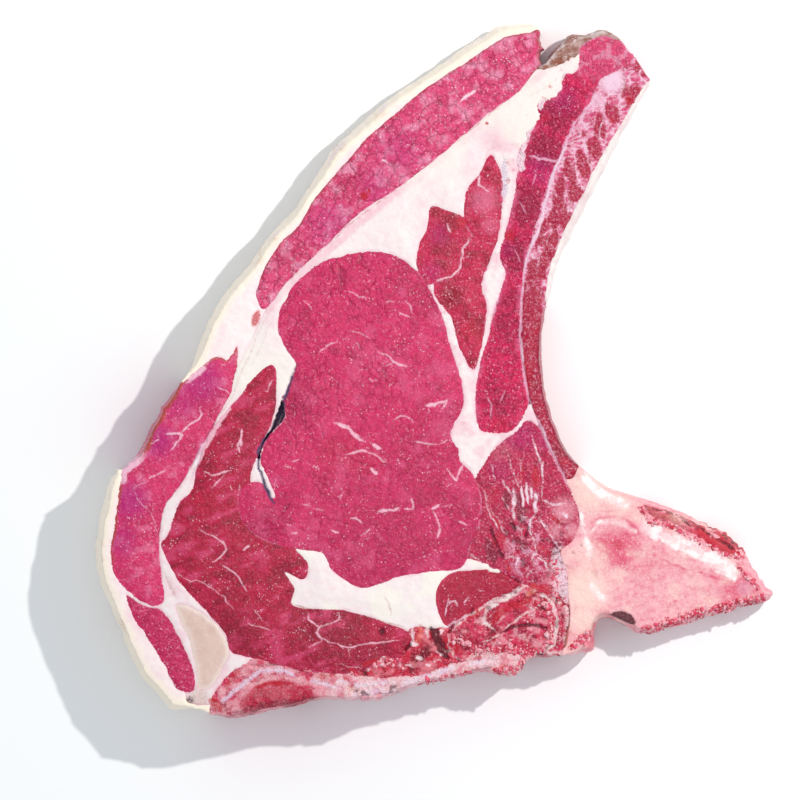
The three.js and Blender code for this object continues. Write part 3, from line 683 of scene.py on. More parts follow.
def outer_left_masks(plan, rim):
    faint = scattered_veins(4, 110, (112, 350, 238, 605), -60, 30, (3, 8), (0.5, 1.0))
    left_edge = smooth_share(-plan[:, 0] + 0.6 * plan[:, 1], 62, 88)
    fat_ends = crumbled(spot_mask(plan, [(192, 364, 30, 1.0), (127, 466, 30, 1.0)]), plan, 5, 0.8, 64)
    return {
        "fat": strongest(0.85 * stroke_mask(plan, scaled(OUTER_LEFT_VEINS, 0.75), 0.45),
                         0.9 * stroke_mask(plan, FASCIA_BAND, 0.5, 0.8),
                         0.9 * fat_ends * near_rim(rim, 1.6, 2.8) * left_edge),
        "film": strongest(0.55 * stroke_mask(plan, faint, 0.35), skin(plan, rim) * (1 - left_edge)),
        "crevice": 0.55 * stroke_mask(plan, FASCIA_SHADE, 0.4),
        "pale": 0.6 * blotches(plan, 4, 50, 0.0, 0.6),
        "stain": 0.85 * near_rim(rim + 0.6 * rough_noise(plan, 2.5, 19), 0.4, 2.0) * left_edge,
        "purple": spot_mask(plan, [
            (200, 380, 30, 0.75), (158, 440, 22, 0.8), (130, 500, 24, 0.8), (122, 540, 20, 0.5),
            (180, 400, 26, 0.5), (150, 410, 14, 0.4),
        ]),
        "deep": spot_mask(plan, [(210, 400, 24, 0.5), (150, 520, 30, 0.3), (190, 450, 20, 0.3)]),
        # Painted shade along the borders between bundles.
        "dark": 0.2 * lines_between(cell_borders(plan, 2.2, 20), 0.16),
    }


def lower_left_masks(plan, rim):
    faint = scattered_veins(8, 24, (127, 594, 195, 690), 60, 20, (3, 8), (0.5, 1.0))
    return {
        "film": strongest(0.55 * stroke_mask(plan, faint, 0.35), skin(plan, rim)),
        "deep": np.full(len(plan), 0.45),
        # Painted shade along the borders between bundles.
        "dark": 0.2 * lines_between(cell_borders(plan, 2.2, 20), 0.16),
    }


def lobe_masks(plan, rim):
    faint = scattered_veins(5, 70, (416, 155, 502, 371), 60, 40, (3, 7), (0.5, 1.1))
    edges = [(2.0, 480, 175, 479, 185, 490, 192), (1.6, 447, 222, 450, 232),
             (2.4, 436, 281, 452, 276, 460, 268, 463, 250, 470, 238)]
    return {
        "fat": 0.9 * stroke_mask(plan, scaled(edges, 0.8), 0.45),
        "film": strongest(0.55 * stroke_mask(plan, faint, 0.35), skin(plan, rim)),
        "deep": strongest(
            spot_mask(plan, [(450, 222, 14, 0.9), (445, 245, 18, 0.6), (452, 296, 16, 1.0),
                            (478, 325, 14, 0.7), (437, 212, 8, 0.8)]),
            0.6 * blotches(plan, 4, 51, 0.0, 0.6),
        ),
        "blood": spot_mask(plan, [
            (470, 330, 14, 0.5), (462, 222, 9, 0.6), (452, 232, 8, 0.4), (486, 290, 9, 0.7),
            (482, 340, 9, 0.5),
        ]),
        # Painted shade in the crevices between lobules, and two dark spots.
        "dark": strongest(0.8 * spot_mask(plan, [(452, 293, 5, 0.5), (470, 300, 5, 0.4)]),
                          0.4 * lines_between(cell_borders(plan, 4.0, 24), 0.16)
                          * blotches(plan, 5, 63, -0.2, 0.4)),
        "purple": spot_mask(plan, [(432, 272, 14, 0.3), (440, 235, 14, 0.3)]),
        "pale": spot_mask(plan, [(484, 200, 18, 0.6), (490, 225, 12, 0.4)]),
    }


def rib_inner_masks(plan, rim):
    faint = scattered_veins(6, 150, (476, 37, 634, 433), -70, 50, (3, 7), (0.5, 1.2))
    sawn_end = area_mask(plan, RIB_SAWN_END, 1.6)
    mottled = blotches(plan, 2.2, 22, 0.0, 0.5)
    fringe = near_rim(rim, 0.4, 3.0) * blotches(plan, 5, 21, -0.3, 0.4)
    ragged_side = stroke_mask(plan, RIB_RAGGED_SIDE, 1.8, 1.0)
    return {
        "fat": 0.85 * smooth_share(ragged_side * (1 + 0.9 * rough_noise(plan, 2.4, 56)), 0.5, 0.9),
        "film": strongest(
            0.8 * stroke_mask(plan, RIB_SEPTUM + RIB_INNER_FILMS, 0.4),
            0.55 * stroke_mask(plan, faint, 0.35),
            0.5 * sawn_end * mottled, skin(plan, rim),
        ),
        "pale": strongest(0.35 * sawn_end, 0.75 * fringe),
        "deep": (1 - sawn_end) * spot_mask(plan, [
            (560, 110, 28, 0.7), (545, 150, 24, 0.9), (528, 205, 28, 0.9), (518, 255, 24, 0.7),
            (512, 330, 24, 0.5), (500, 400, 24, 0.4), (515, 300, 20, 0.5),
        ]),
        "purple": spot_mask(plan, [(540, 170, 20, 0.36), (565, 100, 18, 0.3), (507, 250, 10, 0.24)]),
        "blood": spot_mask(plan, [
            (510, 235, 9, 0.7), (500, 425, 16, 0.4), (560, 78, 10, 0.4), (545, 118, 7, 0.5),
        ]),
        # Painted shade along the borders between bundles, finer on the sawn end.
        "dark": strongest(
            0.35 * lines_between(cell_borders(plan, 2.0, 23), 0.2) * (1 - sawn_end),
            0.3 * sawn_end * lines_between(cell_borders(plan, 1.5, 25), 0.25),
        ),
    }


def rib_outer_masks(plan, rim):
    strip = smooth_share(-plan[:, 1], -32, -14)
    upper = smooth_share(plan[:, 1], 55, 95)
    bundles = [(x, y, 1.3 * length, 1.5 * width, turn) for x, y, length, width, turn in RIB_ELLIPSES]
    marked = ellipse_mask(plan, bundles)
    streaks = rough_noise(turned(plan, -72) / [2.4, 1.0], 1.5, 26)
    red = smooth_share(0.9 * marked + 0.75 * streaks, 0.1, 0.75)
    cells = cell_borders(plan, 2.2, 27, (0.8, 2.2), 100)
    web = lines_between(cells, 0.38) * (1 - 0.7 * red)
    return {
        "deep": np.clip(
            strongest(0.9 * red, strip) + 0.8 * smooth_share(cells, 0.3, 0.8) * (1 - upper), 0, 1,
        ),
        "film": strongest(
            0.9 * stroke_mask(plan, RIB_SEPTUM, 0.45), 0.7 * stroke_mask(plan, RIB_FILMS, 0.4),
            0.8 * stroke_mask(plan, STRIP_FILM, 0.5),
            spot_mask(plan, [(612, 80, 20, 0.9), (598, 100, 14, 0.6)]),
            0.75 * web * (1 - strip), 0.35 * upper * (1 - red) * smooth_share(streaks, -0.3, 0.3),
        ),
        "dark": strongest(
            0.55 * strip * near_rim(rim, 0.3, 1.6),
            0.45 * strip * blotches(plan, 3.5, 28, 0.0, 0.6),
            0.4 * red * blotches(plan, 1.6, 30, 0.1, 0.6),
        ),
        "blood": strongest(
            spot_mask(plan, [(630, 100, 7, 0.63), (612, 120, 6, 0.56), (586, 170, 8, 0.42)]),
            0.5 * strip * blotches(plan, 5, 29, 0.1, 0.7),
        ),
        "pale": 0.7 * blotches(plan, 2.5, 31, -0.2, 0.5) * (1 - strip) * (1 - red),
    }


def deep_masks(plan, rim):
    fibres = lines_between(cell_borders(plan, 2.2, 31, (0.6, 3.0), 100), 0.18)
    upper = smooth_share(plan[:, 1], -60, -45)
    faint = scattered_veins(9, 90, (470, 425, 575, 600), 75, 25, (4, 12), (0.5, 1.2))
    return joined(corner_masks(plan), {
        # Painted shade between the fibre bundles of the upper part.
        "dark": 0.45 * fibres * upper,
        "film": strongest(0.65 * stroke_mask(plan, faint + STRIP_FILM, 0.4), skin(plan, rim)),
        "pale": spot_mask(plan, [
            (565, 510, 16, 0.8), (560, 580, 18, 0.9), (556, 530, 10, 0.6), (572, 530, 10, 0.8),
            (500, 450, 16, 0.2),
        ]),
        "purple": spot_mask(plan, [(520, 435, 22, 0.35), (545, 440, 14, 0.3), (500, 470, 16, 0.25)]),
        "blood": spot_mask(plan, [
            (495, 495, 14, 0.4), (545, 590, 14, 0.6), (572, 540, 10, 0.4), (500, 540, 14, 0.5),
        ]),
    })


def oval_masks(plan, rim):
    faint = scattered_veins(7, 26, (437, 570, 520, 625), -15, 30, (3, 7), (0.5, 0.9))
    return joined(corner_masks(plan), {
        "fat": 0.8 * stroke_mask(plan, OVAL_VEINS, 0.35),
        "film": strongest(0.5 * stroke_mask(plan, faint, 0.3), skin(plan, rim)),
        "pale": 0.5 * near_rim(rim, 0.3, 2.4) * smooth_share(-plan[:, 0], -14, -4),
        "blood": 0.35 * near_rim(rim, 0.3, 4.0),
        "dark": 0.5 * near_rim(rim, 0.2, 1.4) * smooth_share(plan[:, 0], 18, 28),
    })


def vertebra_masks(plan, rim):
    crumbs = cell_borders(plan, 1.5, 41)
    red_rim = crumbled(stroke_mask(plan, VERTEBRA_RED_RIM, 1.3, 1.0), plan, 1.6, 0.9, 42)
    meat = crumbled(area_mask(plan, VERTEBRA_MEAT, 1.4), plan, 3.0, 0.9, 44)
    right_meat = meat * smooth_share(plan[:, 0], 90, 104)
    mottle = blotches(plan, 2.6, 43, -0.3, 0.5)
    near_gap = area_mask(plan, VERTEBRA_NEAR_GAP, 0.5)
    return {
        "fat": strongest(
            0.95 * stroke_mask(plan, VERTEBRA_WHITE, 1.6, 0.8) * (0.55 + 0.45 * mottle),
            0.6 * stroke_mask(plan, VERTEBRA_RED_RIM, 1.8, 1.0) * lines_between(crumbs, 0.3),
        ),
        "blood": strongest(red_rim * smooth_share(crumbs, 0.05, 0.3), 0.9 * right_meat,
                           0.7 * stroke_mask(plan, [(6.0, 574, 645, 582, 640, 588, 632)], 1.2),
                           0.5 * spot_mask(plan, [(618, 545, 9, 1.0), (606, 543, 6, 0.7)])),
        "deep": strongest(
            spot_mask(plan, [
                (620, 548, 26, 0.9), (604, 545, 16, 0.7), (644, 562, 26, 0.3), (738, 590, 26, 0.7),
                (588, 636, 18, 0.8), (600, 618, 14, 0.4),
            ]),
            0.75 * stroke_mask(plan, VERTEBRA_LINES, 0.5), 0.8 * red_rim, meat,
            0.3 * blotches(turned(plan, 12) / [3.0, 1.0], 1.4, 46, 0.0, 0.6),
        ),
        "pale": strongest(
            spot_mask(plan, [
                (585, 590, 34, 0.9), (584, 620, 24, 0.8), (590, 490, 34, 0.8), (620, 500, 26, 0.6),
                (590, 560, 24, 0.6),
            ]),
            0.5 * blotches(plan, 7, 45, 0.0, 0.7),
        ),
        # Painted shade in the canal and in the folds of the meat, and a few small dark spots.
        "dark": strongest(
            0.95 * area_mask(plan, VERTEBRA_CANAL, 0.5),
            0.9 * stroke_mask(plan, VERTEBRA_MEAT_FOLDS, 0.8) * meat,
            spot_mask(plan, [
                (573, 553, 2.5, 0.5), (581, 546, 2.5, 0.5), (567, 566, 3, 0.5), (663, 520, 4, 0.5),
            ]),
        ),
        "stain": strongest(
            0.95 * near_gap,
            0.45 * spot_mask(plan, [(595, 573, 6, 0.9), (592, 557, 4, 0.8), (612, 620, 8, 0.7)]),
            0.6 * meat * (1 - smooth_share(plan[:, 0], 90, 104)),
        ),
        "film": 0.5 * spot_mask(plan, [(745, 588, 14, 0.9), (655, 560, 12, 0.3)]),
    }


def lamina_masks(plan, rim):
    crumbs = cell_borders(plan, 1.7, 51)
    shell = near_rim(rim, 0.6, 2.4) * blotches(plan, 6, 52, -0.9, -0.2)
    patches = blotches(plan, 5, 55, -0.2, 0.4)
    return joined(corner_masks(plan), {
        "fat": strongest(0.6 * shell * blotches(plan, 1.6, 57, -0.5, 0.2),
                         0.6 * lines_between(crumbs, 0.25) * patches),
        "dark": 0.6 * blotches(plan, 2.2, 54, 0.2, 0.7),
        "pale": 0.7 * blotches(plan, 2.8, 58, 0.1, 0.5),
        "deep": 0.7 * blotches(plan, 4.5, 59, 0.0, 0.5),
        "blood": 0.5 * blotches(plan, 3, 53, 0.1, 0.6),
    })


def feather_masks(plan, rim):
    crumbs = cell_borders(plan, 1.4, 61)
    core = area_mask(plan, FEATHER_CORE, 1.0)
    speckled = stroke_mask(plan, FEATHER_SPECKLED, 1.2, 1.0)
    right = smooth_share(plan[:, 0], -46, -34)
    return joined(corner_masks(plan), {
        "film": strongest(0.85 * stroke_mask(plan, scaled(FEATHER_LILAC, 0.8), 1.4, 0.8)
                          * blotches(plan, 5, 68, -1.0, 0.2), 0.6 * speckled),
        "pale": strongest(0.9 * stroke_mask(plan, FEATHER_SALMON, 0.8, 0.8), 0.75 * right * (1 - core),
                          0.9 * blotches(plan, 3, 65, -0.3, 0.3) * (1 - 0.7 * core)),
        "deep": np.clip(0.35 * core + spot_mask(plan, [(225, 708, 10, 0.9)]), 0, 1),
        "fat": 0.65 * crumbled(0.5 + 0.3 * right, plan, 3.2, 0.9, 62) * (1 - core),
        "blood": strongest(0.85 * stroke_mask(plan, FEATHER_RED, 0.9), 0.4 * core,
                           0.6 * right * blotches(plan, 2.6, 66, 0.15, 0.5)),
        # Dark strokes and speckles, and painted shade between the crumbs of the core.
        "dark": strongest(
            0.6 * stroke_mask(plan, FEATHER_DARK, 0.6), 0.2 * core * lines_between(crumbs, 0.3),
            0.75 * speckled * blotches(plan, 1.5, 63, 0.0, 0.4), spot_mask(plan, [(352, 688, 6, 0.4)]),
        ),
        "stain": spot_mask(plan, [(352, 688, 7, 0.9), (210, 700, 8, 0.7)]),
    })


def scrap_masks(plan, rim):
    return joined(corner_masks(plan), {
        "fat": 0.8 * blotches(plan, 2.6, 71, 0.1, 0.5),
        "pale": 0.7 * blotches(plan, 3.6, 72, 0.0, 0.5),
        "dark": 0.5 * blotches(plan, 2.4, 73, 0.35, 0.8),
    })


def ligament_masks(plan, rim):
    return {
        "pale": 0.8 * near_rim(rim, 0.4, 2.6),
        "deep": 0.6 * blotches(plan, 6, 74, -0.2, 0.6),
        "stain": 0.25 * near_rim(rim, 0.0, 0.9),
        "blood": 0.3 * spot_mask(plan, [(222, 668, 10, 0.8)]),
    }


def flap_masks(plan, rim):
    # The ridge of the folded flap is painted paler as a painted highlight, and the slit inside the fold
    # darker, partly brown stain and partly painted shade.
    lit_ridge = stroke_mask(plan, [(5.0, 545, 64, 556, 50, 566, 42, 585, 34, 606, 30)], 0.8, 0.8)
    inner = stroke_mask(plan, [(6.0, 556, 62, 568, 50, 578, 48)], 1.2, 0.8)
    return {
        "pale": lit_ridge,
        "stain": strongest(0.8 * blotches(plan, 3.0, 81, 0.0, 0.6), 0.5 * inner),
        "deep": blotches(plan, 4.5, 82, -0.1, 0.5),
        "dark": strongest(0.35 * inner, 0.3 * near_rim(rim, 0.2, 1.0)),
    }


def lining_masks(plan, rim):
    return {
        "stain": 0.4 * spot_mask(plan, [(645, 95, 6, 1.0), (560, 290, 6, 0.6), (592, 215, 5, 0.6)]),
        "deep": 0.6 * blotches(plan, 5, 83, -0.1, 0.6),
    }


FASCIA_LINES = [
    (1.8, 274, 306, 262, 325, 254, 345, 246, 362, 239, 380, 232, 398, 222, 412, 212, 432),
    (1.2, 277, 312, 266, 332, 260, 352, 250, 368), (1.2, 372, 216, 350, 236, 330, 253, 305, 280),
    (1.4, 560, 76, 545, 88, 527, 98),
]
FAT_FOLDS = [
    (1.2, 450, 160, 430, 175, 405, 192), (1.0, 495, 108, 488, 122), (1.0, 429, 180, 428, 205),
    (1.0, 405, 215, 400, 235), (1.0, 480, 120, 462, 140, 440, 152), (1.0, 410, 250, 380, 243),
    (1.0, 385, 228, 368, 238, 350, 243), (1.0, 510, 100, 500, 120, 494, 140),
]


def blush(plan, rim, reach=1.6):
    """The pink that meat leaves on the rim of the fat beside it."""
    return near_rim(rim, 0.1, reach) * blotches(plan, 3, 38, -0.7, 0.3)


def inner_fat_masks(plan, rim):
    tendon = stroke_mask(plan, BACK_TENDON, 1.0, 1.0)
    infiltrated = stroke_mask(plan, [(16, 560, 78, 548, 100, 530, 122, 520, 150)], 2.0, 1.0)
    return {
        "stain": strongest(0.55 * stroke_mask(plan, FASCIA_LINES, 0.6),
                           0.16 * stroke_mask(plan, FAT_FOLDS, 0.5)),
        "deep": strongest(
            0.9 * tendon, 0.45 * blotches(plan, 14, 91, 0.1, 0.7), 0.8 * blush(plan, rim),
            spot_mask(plan, [(505, 135, 34, 0.8), (532, 110, 24, 0.64), (470, 165, 20, 0.32)]),
        ),
        "blood": strongest(
            0.75 * ellipse_mask(plan, SMALL_LOBE), spot_mask(plan, [(487, 123, 2.5, 0.9)]),
            0.5 * stroke_mask(plan, BACK_TENDON_EDGE, 0.4),
            0.5 * infiltrated * blotches(plan, 2.2, 39, 0.2, 0.6),
        ),
        "pale": 0.8 * blotches(plan, 20, 92, -0.2, 0.5),
        "crevice": strongest(0.9 * stroke_mask(plan, CREVICE_LINE, 0.7), crevice_floor_mask(plan)),
    }


def crevice_floor_mask(plan):
    """The painted shade on the sunken floor between the eye and the cap, finely ribbed across."""
    ribs = 0.75 + 0.25 * np.sin(turned(plan, 65)[:, 1] * 2 * math.pi / 1.3)
    return np.where(inside_loop(plan, sunken_floor), ribs, 0)


def bottom_fat_masks(plan, rim):
    hairs = [(1.3, 383, 594, 389, 603, 391, 610, 390, 617), (1.6, 370, 619, 388, 622, 405, 627),
             (2.0, 290, 603, 310, 608, 345, 611)]
    return joined({name: mask for name, mask in corner_masks(plan).items() if name != "deep"}, {
        "stain": 0.75 * stroke_mask(plan, hairs, 0.4),
        "pale": 0.9 * blotches(plan, 10, 93, -0.3, 0.4),
        "deep": strongest(0.9 * blush(plan, rim), spot_mask(plan, [(292, 560, 14, 0.5)])),
    })


def middle_fat_masks(plan, rim):
    vessel = stroke_mask(plan, [(6.0, 504, 156, 505, 178, 504, 199)], 0.7)
    return joined(corner_masks(plan), {
        "crevice": 0.3 * vessel,
        "film": 0.5 * vessel,
        "deep": strongest(
            0.7 * blotches(plan, 6, 94, -0.1, 0.5), blush(plan, rim, 2.0),
            0.6 * stroke_mask(plan, [(3, 516, 160, 512, 200, 500, 250)], 1.0),
        ),
        "blood": 0.5 * blotches(plan, 4, 95, 0.3, 0.8),
    })


def seam_fat_masks(plan, rim):
    slit = stroke_mask(plan, [(5.0, 164, 571, 170, 584, 176, 597)], 0.9)
    fascia = stroke_mask(plan, [(2.4, 214, 420, 206, 440, 198, 462, 190, 482)], 0.7)
    corner = spot_mask(plan, [(200, 698, 18, 0.9)])
    return {
        # Painted shade in the slit and along the fascia.
        "crevice": strongest(0.35 * fascia, 0.2 * slit),
        "dark": spot_mask(plan, [(190, 700, 7, 0.75)]),
        "stain": np.clip(0.6 * corner + 0.45 * slit, 0, 1),
        "deep": strongest(0.6 * blotches(plan, 5, 96, -0.1, 0.6), blush(plan, rim)),
        "blood": spot_mask(plan, [(212, 700, 5, 0.7)]),
    }


def outer_fat_masks(plan, rim):
    rind = 1 - smooth_share(rind_distance(plan) + 0.8 * rough_noise(plan, 5, 99), 2.0, 7.0)
    return {
        "pale": rind,
        "stain": strongest(0.5 * rind * blotches(plan, 6, 97, 0.1, 0.8),
                           spot_mask(plan, [(335, 148, 4, 0.6), (312, 182, 4, 0.6), (190, 372, 9, 0.3)])),
        "deep": strongest(0.5 * (1 - rind) * blotches(plan, 12, 98, -0.3, 0.6),
                          0.5 * blush(plan, rim) * (1 - rind),
                          0.55 * rind * blotches(plan, 9, 67, 0.0, 0.7)),
        "blood": strongest(0.7 * spot_mask(plan, [(335, 148, 2.4, 1.0), (312, 182, 2.0, 0.8)]),
                           0.75 * ellipse_mask(plan, SMALL_LOBE)),
    }


# The tissues

class Tissue:
    """The colours and grain of one kind of cut surface."""

    # painted_glints sets how strongly pale dots are painted on as highlights.
    def __init__(self, name, slot, flesh, deep, pale, fat="f3e4e4", film="dfaecb", stain="9a4a2e",
                 painted_glints=0.7, mottle=0.6, gloss=0.27, bump=0.8, bundle=2.6, furrows=0.3):
        self.name = name
        self.slot = slot
        self.colours = {"Flesh": flesh, "Deep": deep, "Pale": pale,
                        "Fat": fat, "Film": film, "Stain": stain}
        # Bundle Strength sets both the painted shade in the furrows between bundles and how high the
        # bundles swell.
        self.values = {"Painted Glints": painted_glints, "Mottle": mottle, "Gloss": gloss,
                       "Bundle Scale": 1 / (bundle * MM), "Bundle Strength": furrows}
        self.bump = bump


EYE = Tissue("eye_lean", "lean", "d2265e", "a81044", "da5280", fat="f0b8ca", film="e08eac", bundle=3.0,
             furrows=0.28)
CAP = Tissue("cap_lean", "dark_lean", "b80c3c", "8c0628", "cc3c66", fat="ecb0c0", film="d27492",
             furrows=0.2)
BACK = Tissue("bundled_lean", "lean", "e04276", "b81c4c", "ee9ab8", fat="f6c8d6", film="f0b4c8",
              painted_glints=0.9, bump=1.0, bundle=4.2, furrows=0.7)
RIM = Tissue("outer_lean", "lean", "da2e68", "b2124a", "e47096", fat="f0b8cc", film="e296b4",
             stain="b04a2c", furrows=0.25)
LOBE = Tissue("lobe_lean", "lean", "c81c4c", "960828", "dc6e8e", fat="ecc0cc", film="dc8ca6",
              furrows=0.15)
RIB = Tissue("rib_lean", "dark_lean", "da1a56", "9c0c3a", "e4648c", fat="f2d0da", film="e8a8c2",
             painted_glints=0.6, mottle=0.75, bump=1.0, bundle=2.2, furrows=0.45)
BANDED = Tissue("banded_lean", "lean", "d24474", "a80a36", "e6a0b8", fat="f4e0ea", film="ecc6d8",
                painted_glints=0.5, furrows=0.1)
DEEP = Tissue("streaked_lean", "lean", "be184a", "860630", "e28c9c", fat="f2dbe6", film="e2a0ba",
              stain="e8685a", painted_glints=0.6, furrows=0.25)
OVAL = Tissue("oval_lean", "dark_lean", "ae0c38", "8e062c", "c63c5e", fat="e8c0d0", film="d07092",
              stain="e8685a", furrows=0.2)
SCRAP = Tissue("trimmed_lean", "dark_lean", "c81a3c", "780820", "ea8490", fat="f4d4d8", stain="f27462",
               bump=1.0, furrows=0.2)
FAT_INSIDE = Tissue("inner_fat", "fat", "eee0df", "eabec8", "efe6dc", fat="f2ecee", film="dccbe0",
                    stain="b98670", painted_glints=0.0, mottle=0.3, gloss=0.42, bump=0.25, bundle=9.0,
                    furrows=0.0)
FAT_OUTSIDE = Tissue("outer_fat", "fat", "f8e6e4", "eec6d2", "fbecd8", fat="f5eff2", film="dccbe0",
                     stain="d0946a", painted_glints=0.0, mottle=0.3, gloss=0.42, bump=0.3, bundle=9.0,
                     furrows=0.0)
BONE = Tissue("sawn_bone", "bone", "f0acb4", "dc5c78", "f4d0c6", fat="f8ecea", film="d8a8bc",
              stain="a85038", painted_glints=0.3, mottle=0.5, gloss=0.5, bump=0.6, bundle=1.4, furrows=0.08)
SPONGY = Tissue("spongy_bone", "spongy_bone", "d62e56", "9c0a30", "ec9aa6", fat="f6dede", film="e6cbe0",
                stain="e87e66", painted_glints=0.4, gloss=0.45, bump=1.0, bundle=1.6, furrows=0.3)
CRUMB = Tissue("saw_crumbs", "spongy_bone", "ea5a76", "c02a4c", "f4b0ba", fat="f8dade", painted_glints=0.3,
               gloss=0.4, furrows=0.0)
LIGAMENT = Tissue("ligament", "sinew", "dcbeb2", "d0aca0", "ead6cc", painted_glints=0.0, mottle=0.3,
                  gloss=0.35, bump=0.25, furrows=0.0)
FLAP = Tissue("rib_flap", "sinew", "b8948c", "8a4e3a", "dcccc8", painted_glints=0.1, stain="8a3c24",
              gloss=0.45, bump=0.8, furrows=0.0)
LINING = Tissue("rib_lining", "lining", "ece2dd", "e2c4c6", "f2ece4", painted_glints=0.0, mottle=0.4,
                gloss=0.4, bump=0.3, stain="b98c78", furrows=0.0)

# For each node: its tissue, its painter, and in millimetres how far its outer wall leans in, how
# high its middle rises and how rough its cut face is.
PIECES = {
    "eye_muscle": (EYE, eye_masks, 1.0, 0.9, 0.0),
    "cap_muscle": (CAP, cap_masks, 1.0, 0.8, 0.0),
    "back_muscle": (BACK, back_masks, 1.0, 0.8, 0.0),
    "outer_left_upper": (RIM, outer_left_masks, 1.6, 0.8, 0.0),
    "outer_left_lower": (RIM, lower_left_masks, 1.0, 0.6, 0.0),
    "lobe_upper": (LOBE, lobe_masks, 1.0, 0.6, 0.0),
    "lobe_inner": (LOBE, lobe_masks, 1.0, 0.6, 0.0),
    "lobe_lower": (LOBE, lobe_masks, 1.0, 0.6, 0.0),
    "rib_inner": (RIB, rib_inner_masks, 1.0, 0.4, 0.15),
    "rib_outer": (BANDED, rib_outer_masks, 1.0, 0.3, 0.15),
    "rib_lining": (LINING, lining_masks, 1.2, 0.1, 0.1),
    "rib_flap": (FLAP, flap_masks, 1.0, 0.0, 0.6),
    "deep_muscle": (DEEP, deep_masks, 1.0, 0.4, 0.2),
    "oval_muscle": (OVAL, oval_masks, 1.0, 0.5, 0.0),
    "vertebra": (BONE, vertebra_masks, 2.2, 0.2, 0.12),
    "lamina": (SPONGY, lamina_masks, 1.2, 0.1, 0.45),
    "feather_bone": (SPONGY, feather_masks, 1.5, 0.1, 0.35),
    "ligament": (LIGAMENT, ligament_masks, 1.0, 0.3, 0.0),
    "trimmed_meat": (SCRAP, scrap_masks, 1.0, 0.3, 0.7),
    "bottom_fat": (FAT_INSIDE, bottom_fat_masks, 1.0, 0.4, 0.0),
    "middle_fat": (FAT_INSIDE, middle_fat_masks, 1.0, 0.1, 0.1),
    "inner_fat": (FAT_INSIDE, inner_fat_masks, 0.0, 0.4, 0.0),
    "seam_fat": (FAT_INSIDE, seam_fat_masks, 4.0, 0.1, 0.0),
    "side_fat": (FAT_OUTSIDE, outer_fat_masks, 2.6, 0.2, 0.05),
    "outer_fat": (FAT_OUTSIDE, outer_fat_masks, 2.6, 0.2, 0.05),
}
MASK_NAMES = ("fat", "film", "dark", "deep", "pale", "stain", "purple", "blood", "crevice")

# The crumbs on a node: trails, each its width in pixels, its count and its points' x and y.
CRUMB_TRAILS = {
    "vertebra": [(10, 330, *VERTEBRA_RED_RIM[0][1:]), (8, 60, *VERTEBRA_RED_RIM[1][1:]),
                 (5, 50, *VERTEBRA_RED_RIM[2][1:]), (5, 20, *VERTEBRA_RED_RIM[3][1:]),
                 (5, 110, 650, 522, 672, 526, 700, 542, 730, 556, 744, 560)],
    "lamina": [(8, 70, 450, 636, 466, 642, 484, 652), (9, 80, 538, 600, 552, 612, 550, 644),
               (12, 80, 490, 650, 515, 648, 536, 650)],
    "feather_bone": [(10, 110, 492, 672, 512, 670, 530, 658), (8, 60, 418, 684, 470, 672)],
    "trimmed_meat": [(12, 110, 350, 672, 372, 664, 400, 660)],
    "deep_muscle": [(10, 60, 552, 560, 556, 580, 552, 600)],
}


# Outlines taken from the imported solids

def welded_triangles(node):
    """A node's corners in millimetres with doubles merged, and its triangles."""
    mesh = node.data
    mesh.calc_loop_triangles()
    corners = np.zeros(len(mesh.vertices) * 3, np.float32)
    mesh.vertices.foreach_get("co", corners)
    triangles = np.zeros(len(mesh.loop_triangles) * 3, np.int32)
    mesh.loop_triangles.foreach_get("vertices", triangles)
    rounded = np.round(corners.reshape(-1, 3) / MM, 3)
    unique, renumbered = np.unique(rounded, axis=0, return_inverse=True)
    return unique, renumbered.reshape(-1)[triangles].reshape(-1, 3)


def border_loops(triangles):
    """The closed chains of edges that only one of these triangles has."""
    edges = {}
    for triangle in triangles:
        for k in range(3):
            edges[(triangle[k], triangle[(k + 1) % 3])] = True
    following = {a: b for a, b in edges if (b, a) not in edges}
    loops = []
    while following:
        corner = next(iter(following))
        loop = []
        while corner in following:
            loop.append(corner)
            corner = following.pop(corner)
        loops.append(loop)
    return loops


def signed_area(loop):
    """Above 0 for a counter-clockwise loop."""
    after = np.roll(loop, -1, axis=0)
    return 0.5 * float(np.sum(loop[:, 0] * after[:, 1] - after[:, 0] * loop[:, 1]))


def facing_up(corners, triangles):
    """Which triangles are part of the cut face."""
    a, b, c = (corners[triangles[:, k]] for k in range(3))
    normals = np.cross(b - a, c - a)
    return normals[:, 2] > UPWARD * np.linalg.norm(normals, axis=1)


def plan_loops(node):
    """A node's widest outline seen from above: its contour counter-clockwise, then its holes."""
    corners, triangles = welded_triangles(node)
    top_corners = np.unique(triangles[facing_up(corners, triangles)])
    lower = triangles[~np.isin(triangles, top_corners).any(axis=1)]
    loops = [corners[loop][:, :2] for loop in border_loops(lower.tolist())]
    loops.sort(key=lambda loop: -abs(signed_area(loop)))
    return [
        loop if (signed_area(loop) > 0) == (which == 0) else loop[::-1]
        for which, loop in enumerate(loops)
    ]


def crevice_loop(node):
    """The outline of the sunken floor between the eye and the cap."""
    corners, triangles = welded_triangles(node)
    heights = corners[triangles][:, :, 2]
    floor = (np.abs(heights - CREVICE_FLOOR) < SAME_HEIGHT).all(axis=1)
    loops = [corners[loop][:, :2] for loop in border_loops(triangles[floor].tolist())]
    return max(loops, key=lambda loop: abs(signed_area(loop)))


def even_points(loop, step):
    """Points about `step` apart along a closed loop."""
    closed = np.vstack([loop, loop[:1]])
    lengths = np.r_[0, np.cumsum(np.linalg.norm(np.diff(closed, axis=0), axis=1))]
    count = max(8, int(round(lengths[-1] / step)))
    stations = np.linspace(0, lengths[-1], count, endpoint=False)
    return np.stack([np.interp(stations, lengths, closed[:, k]) for k in (0, 1)], -1)


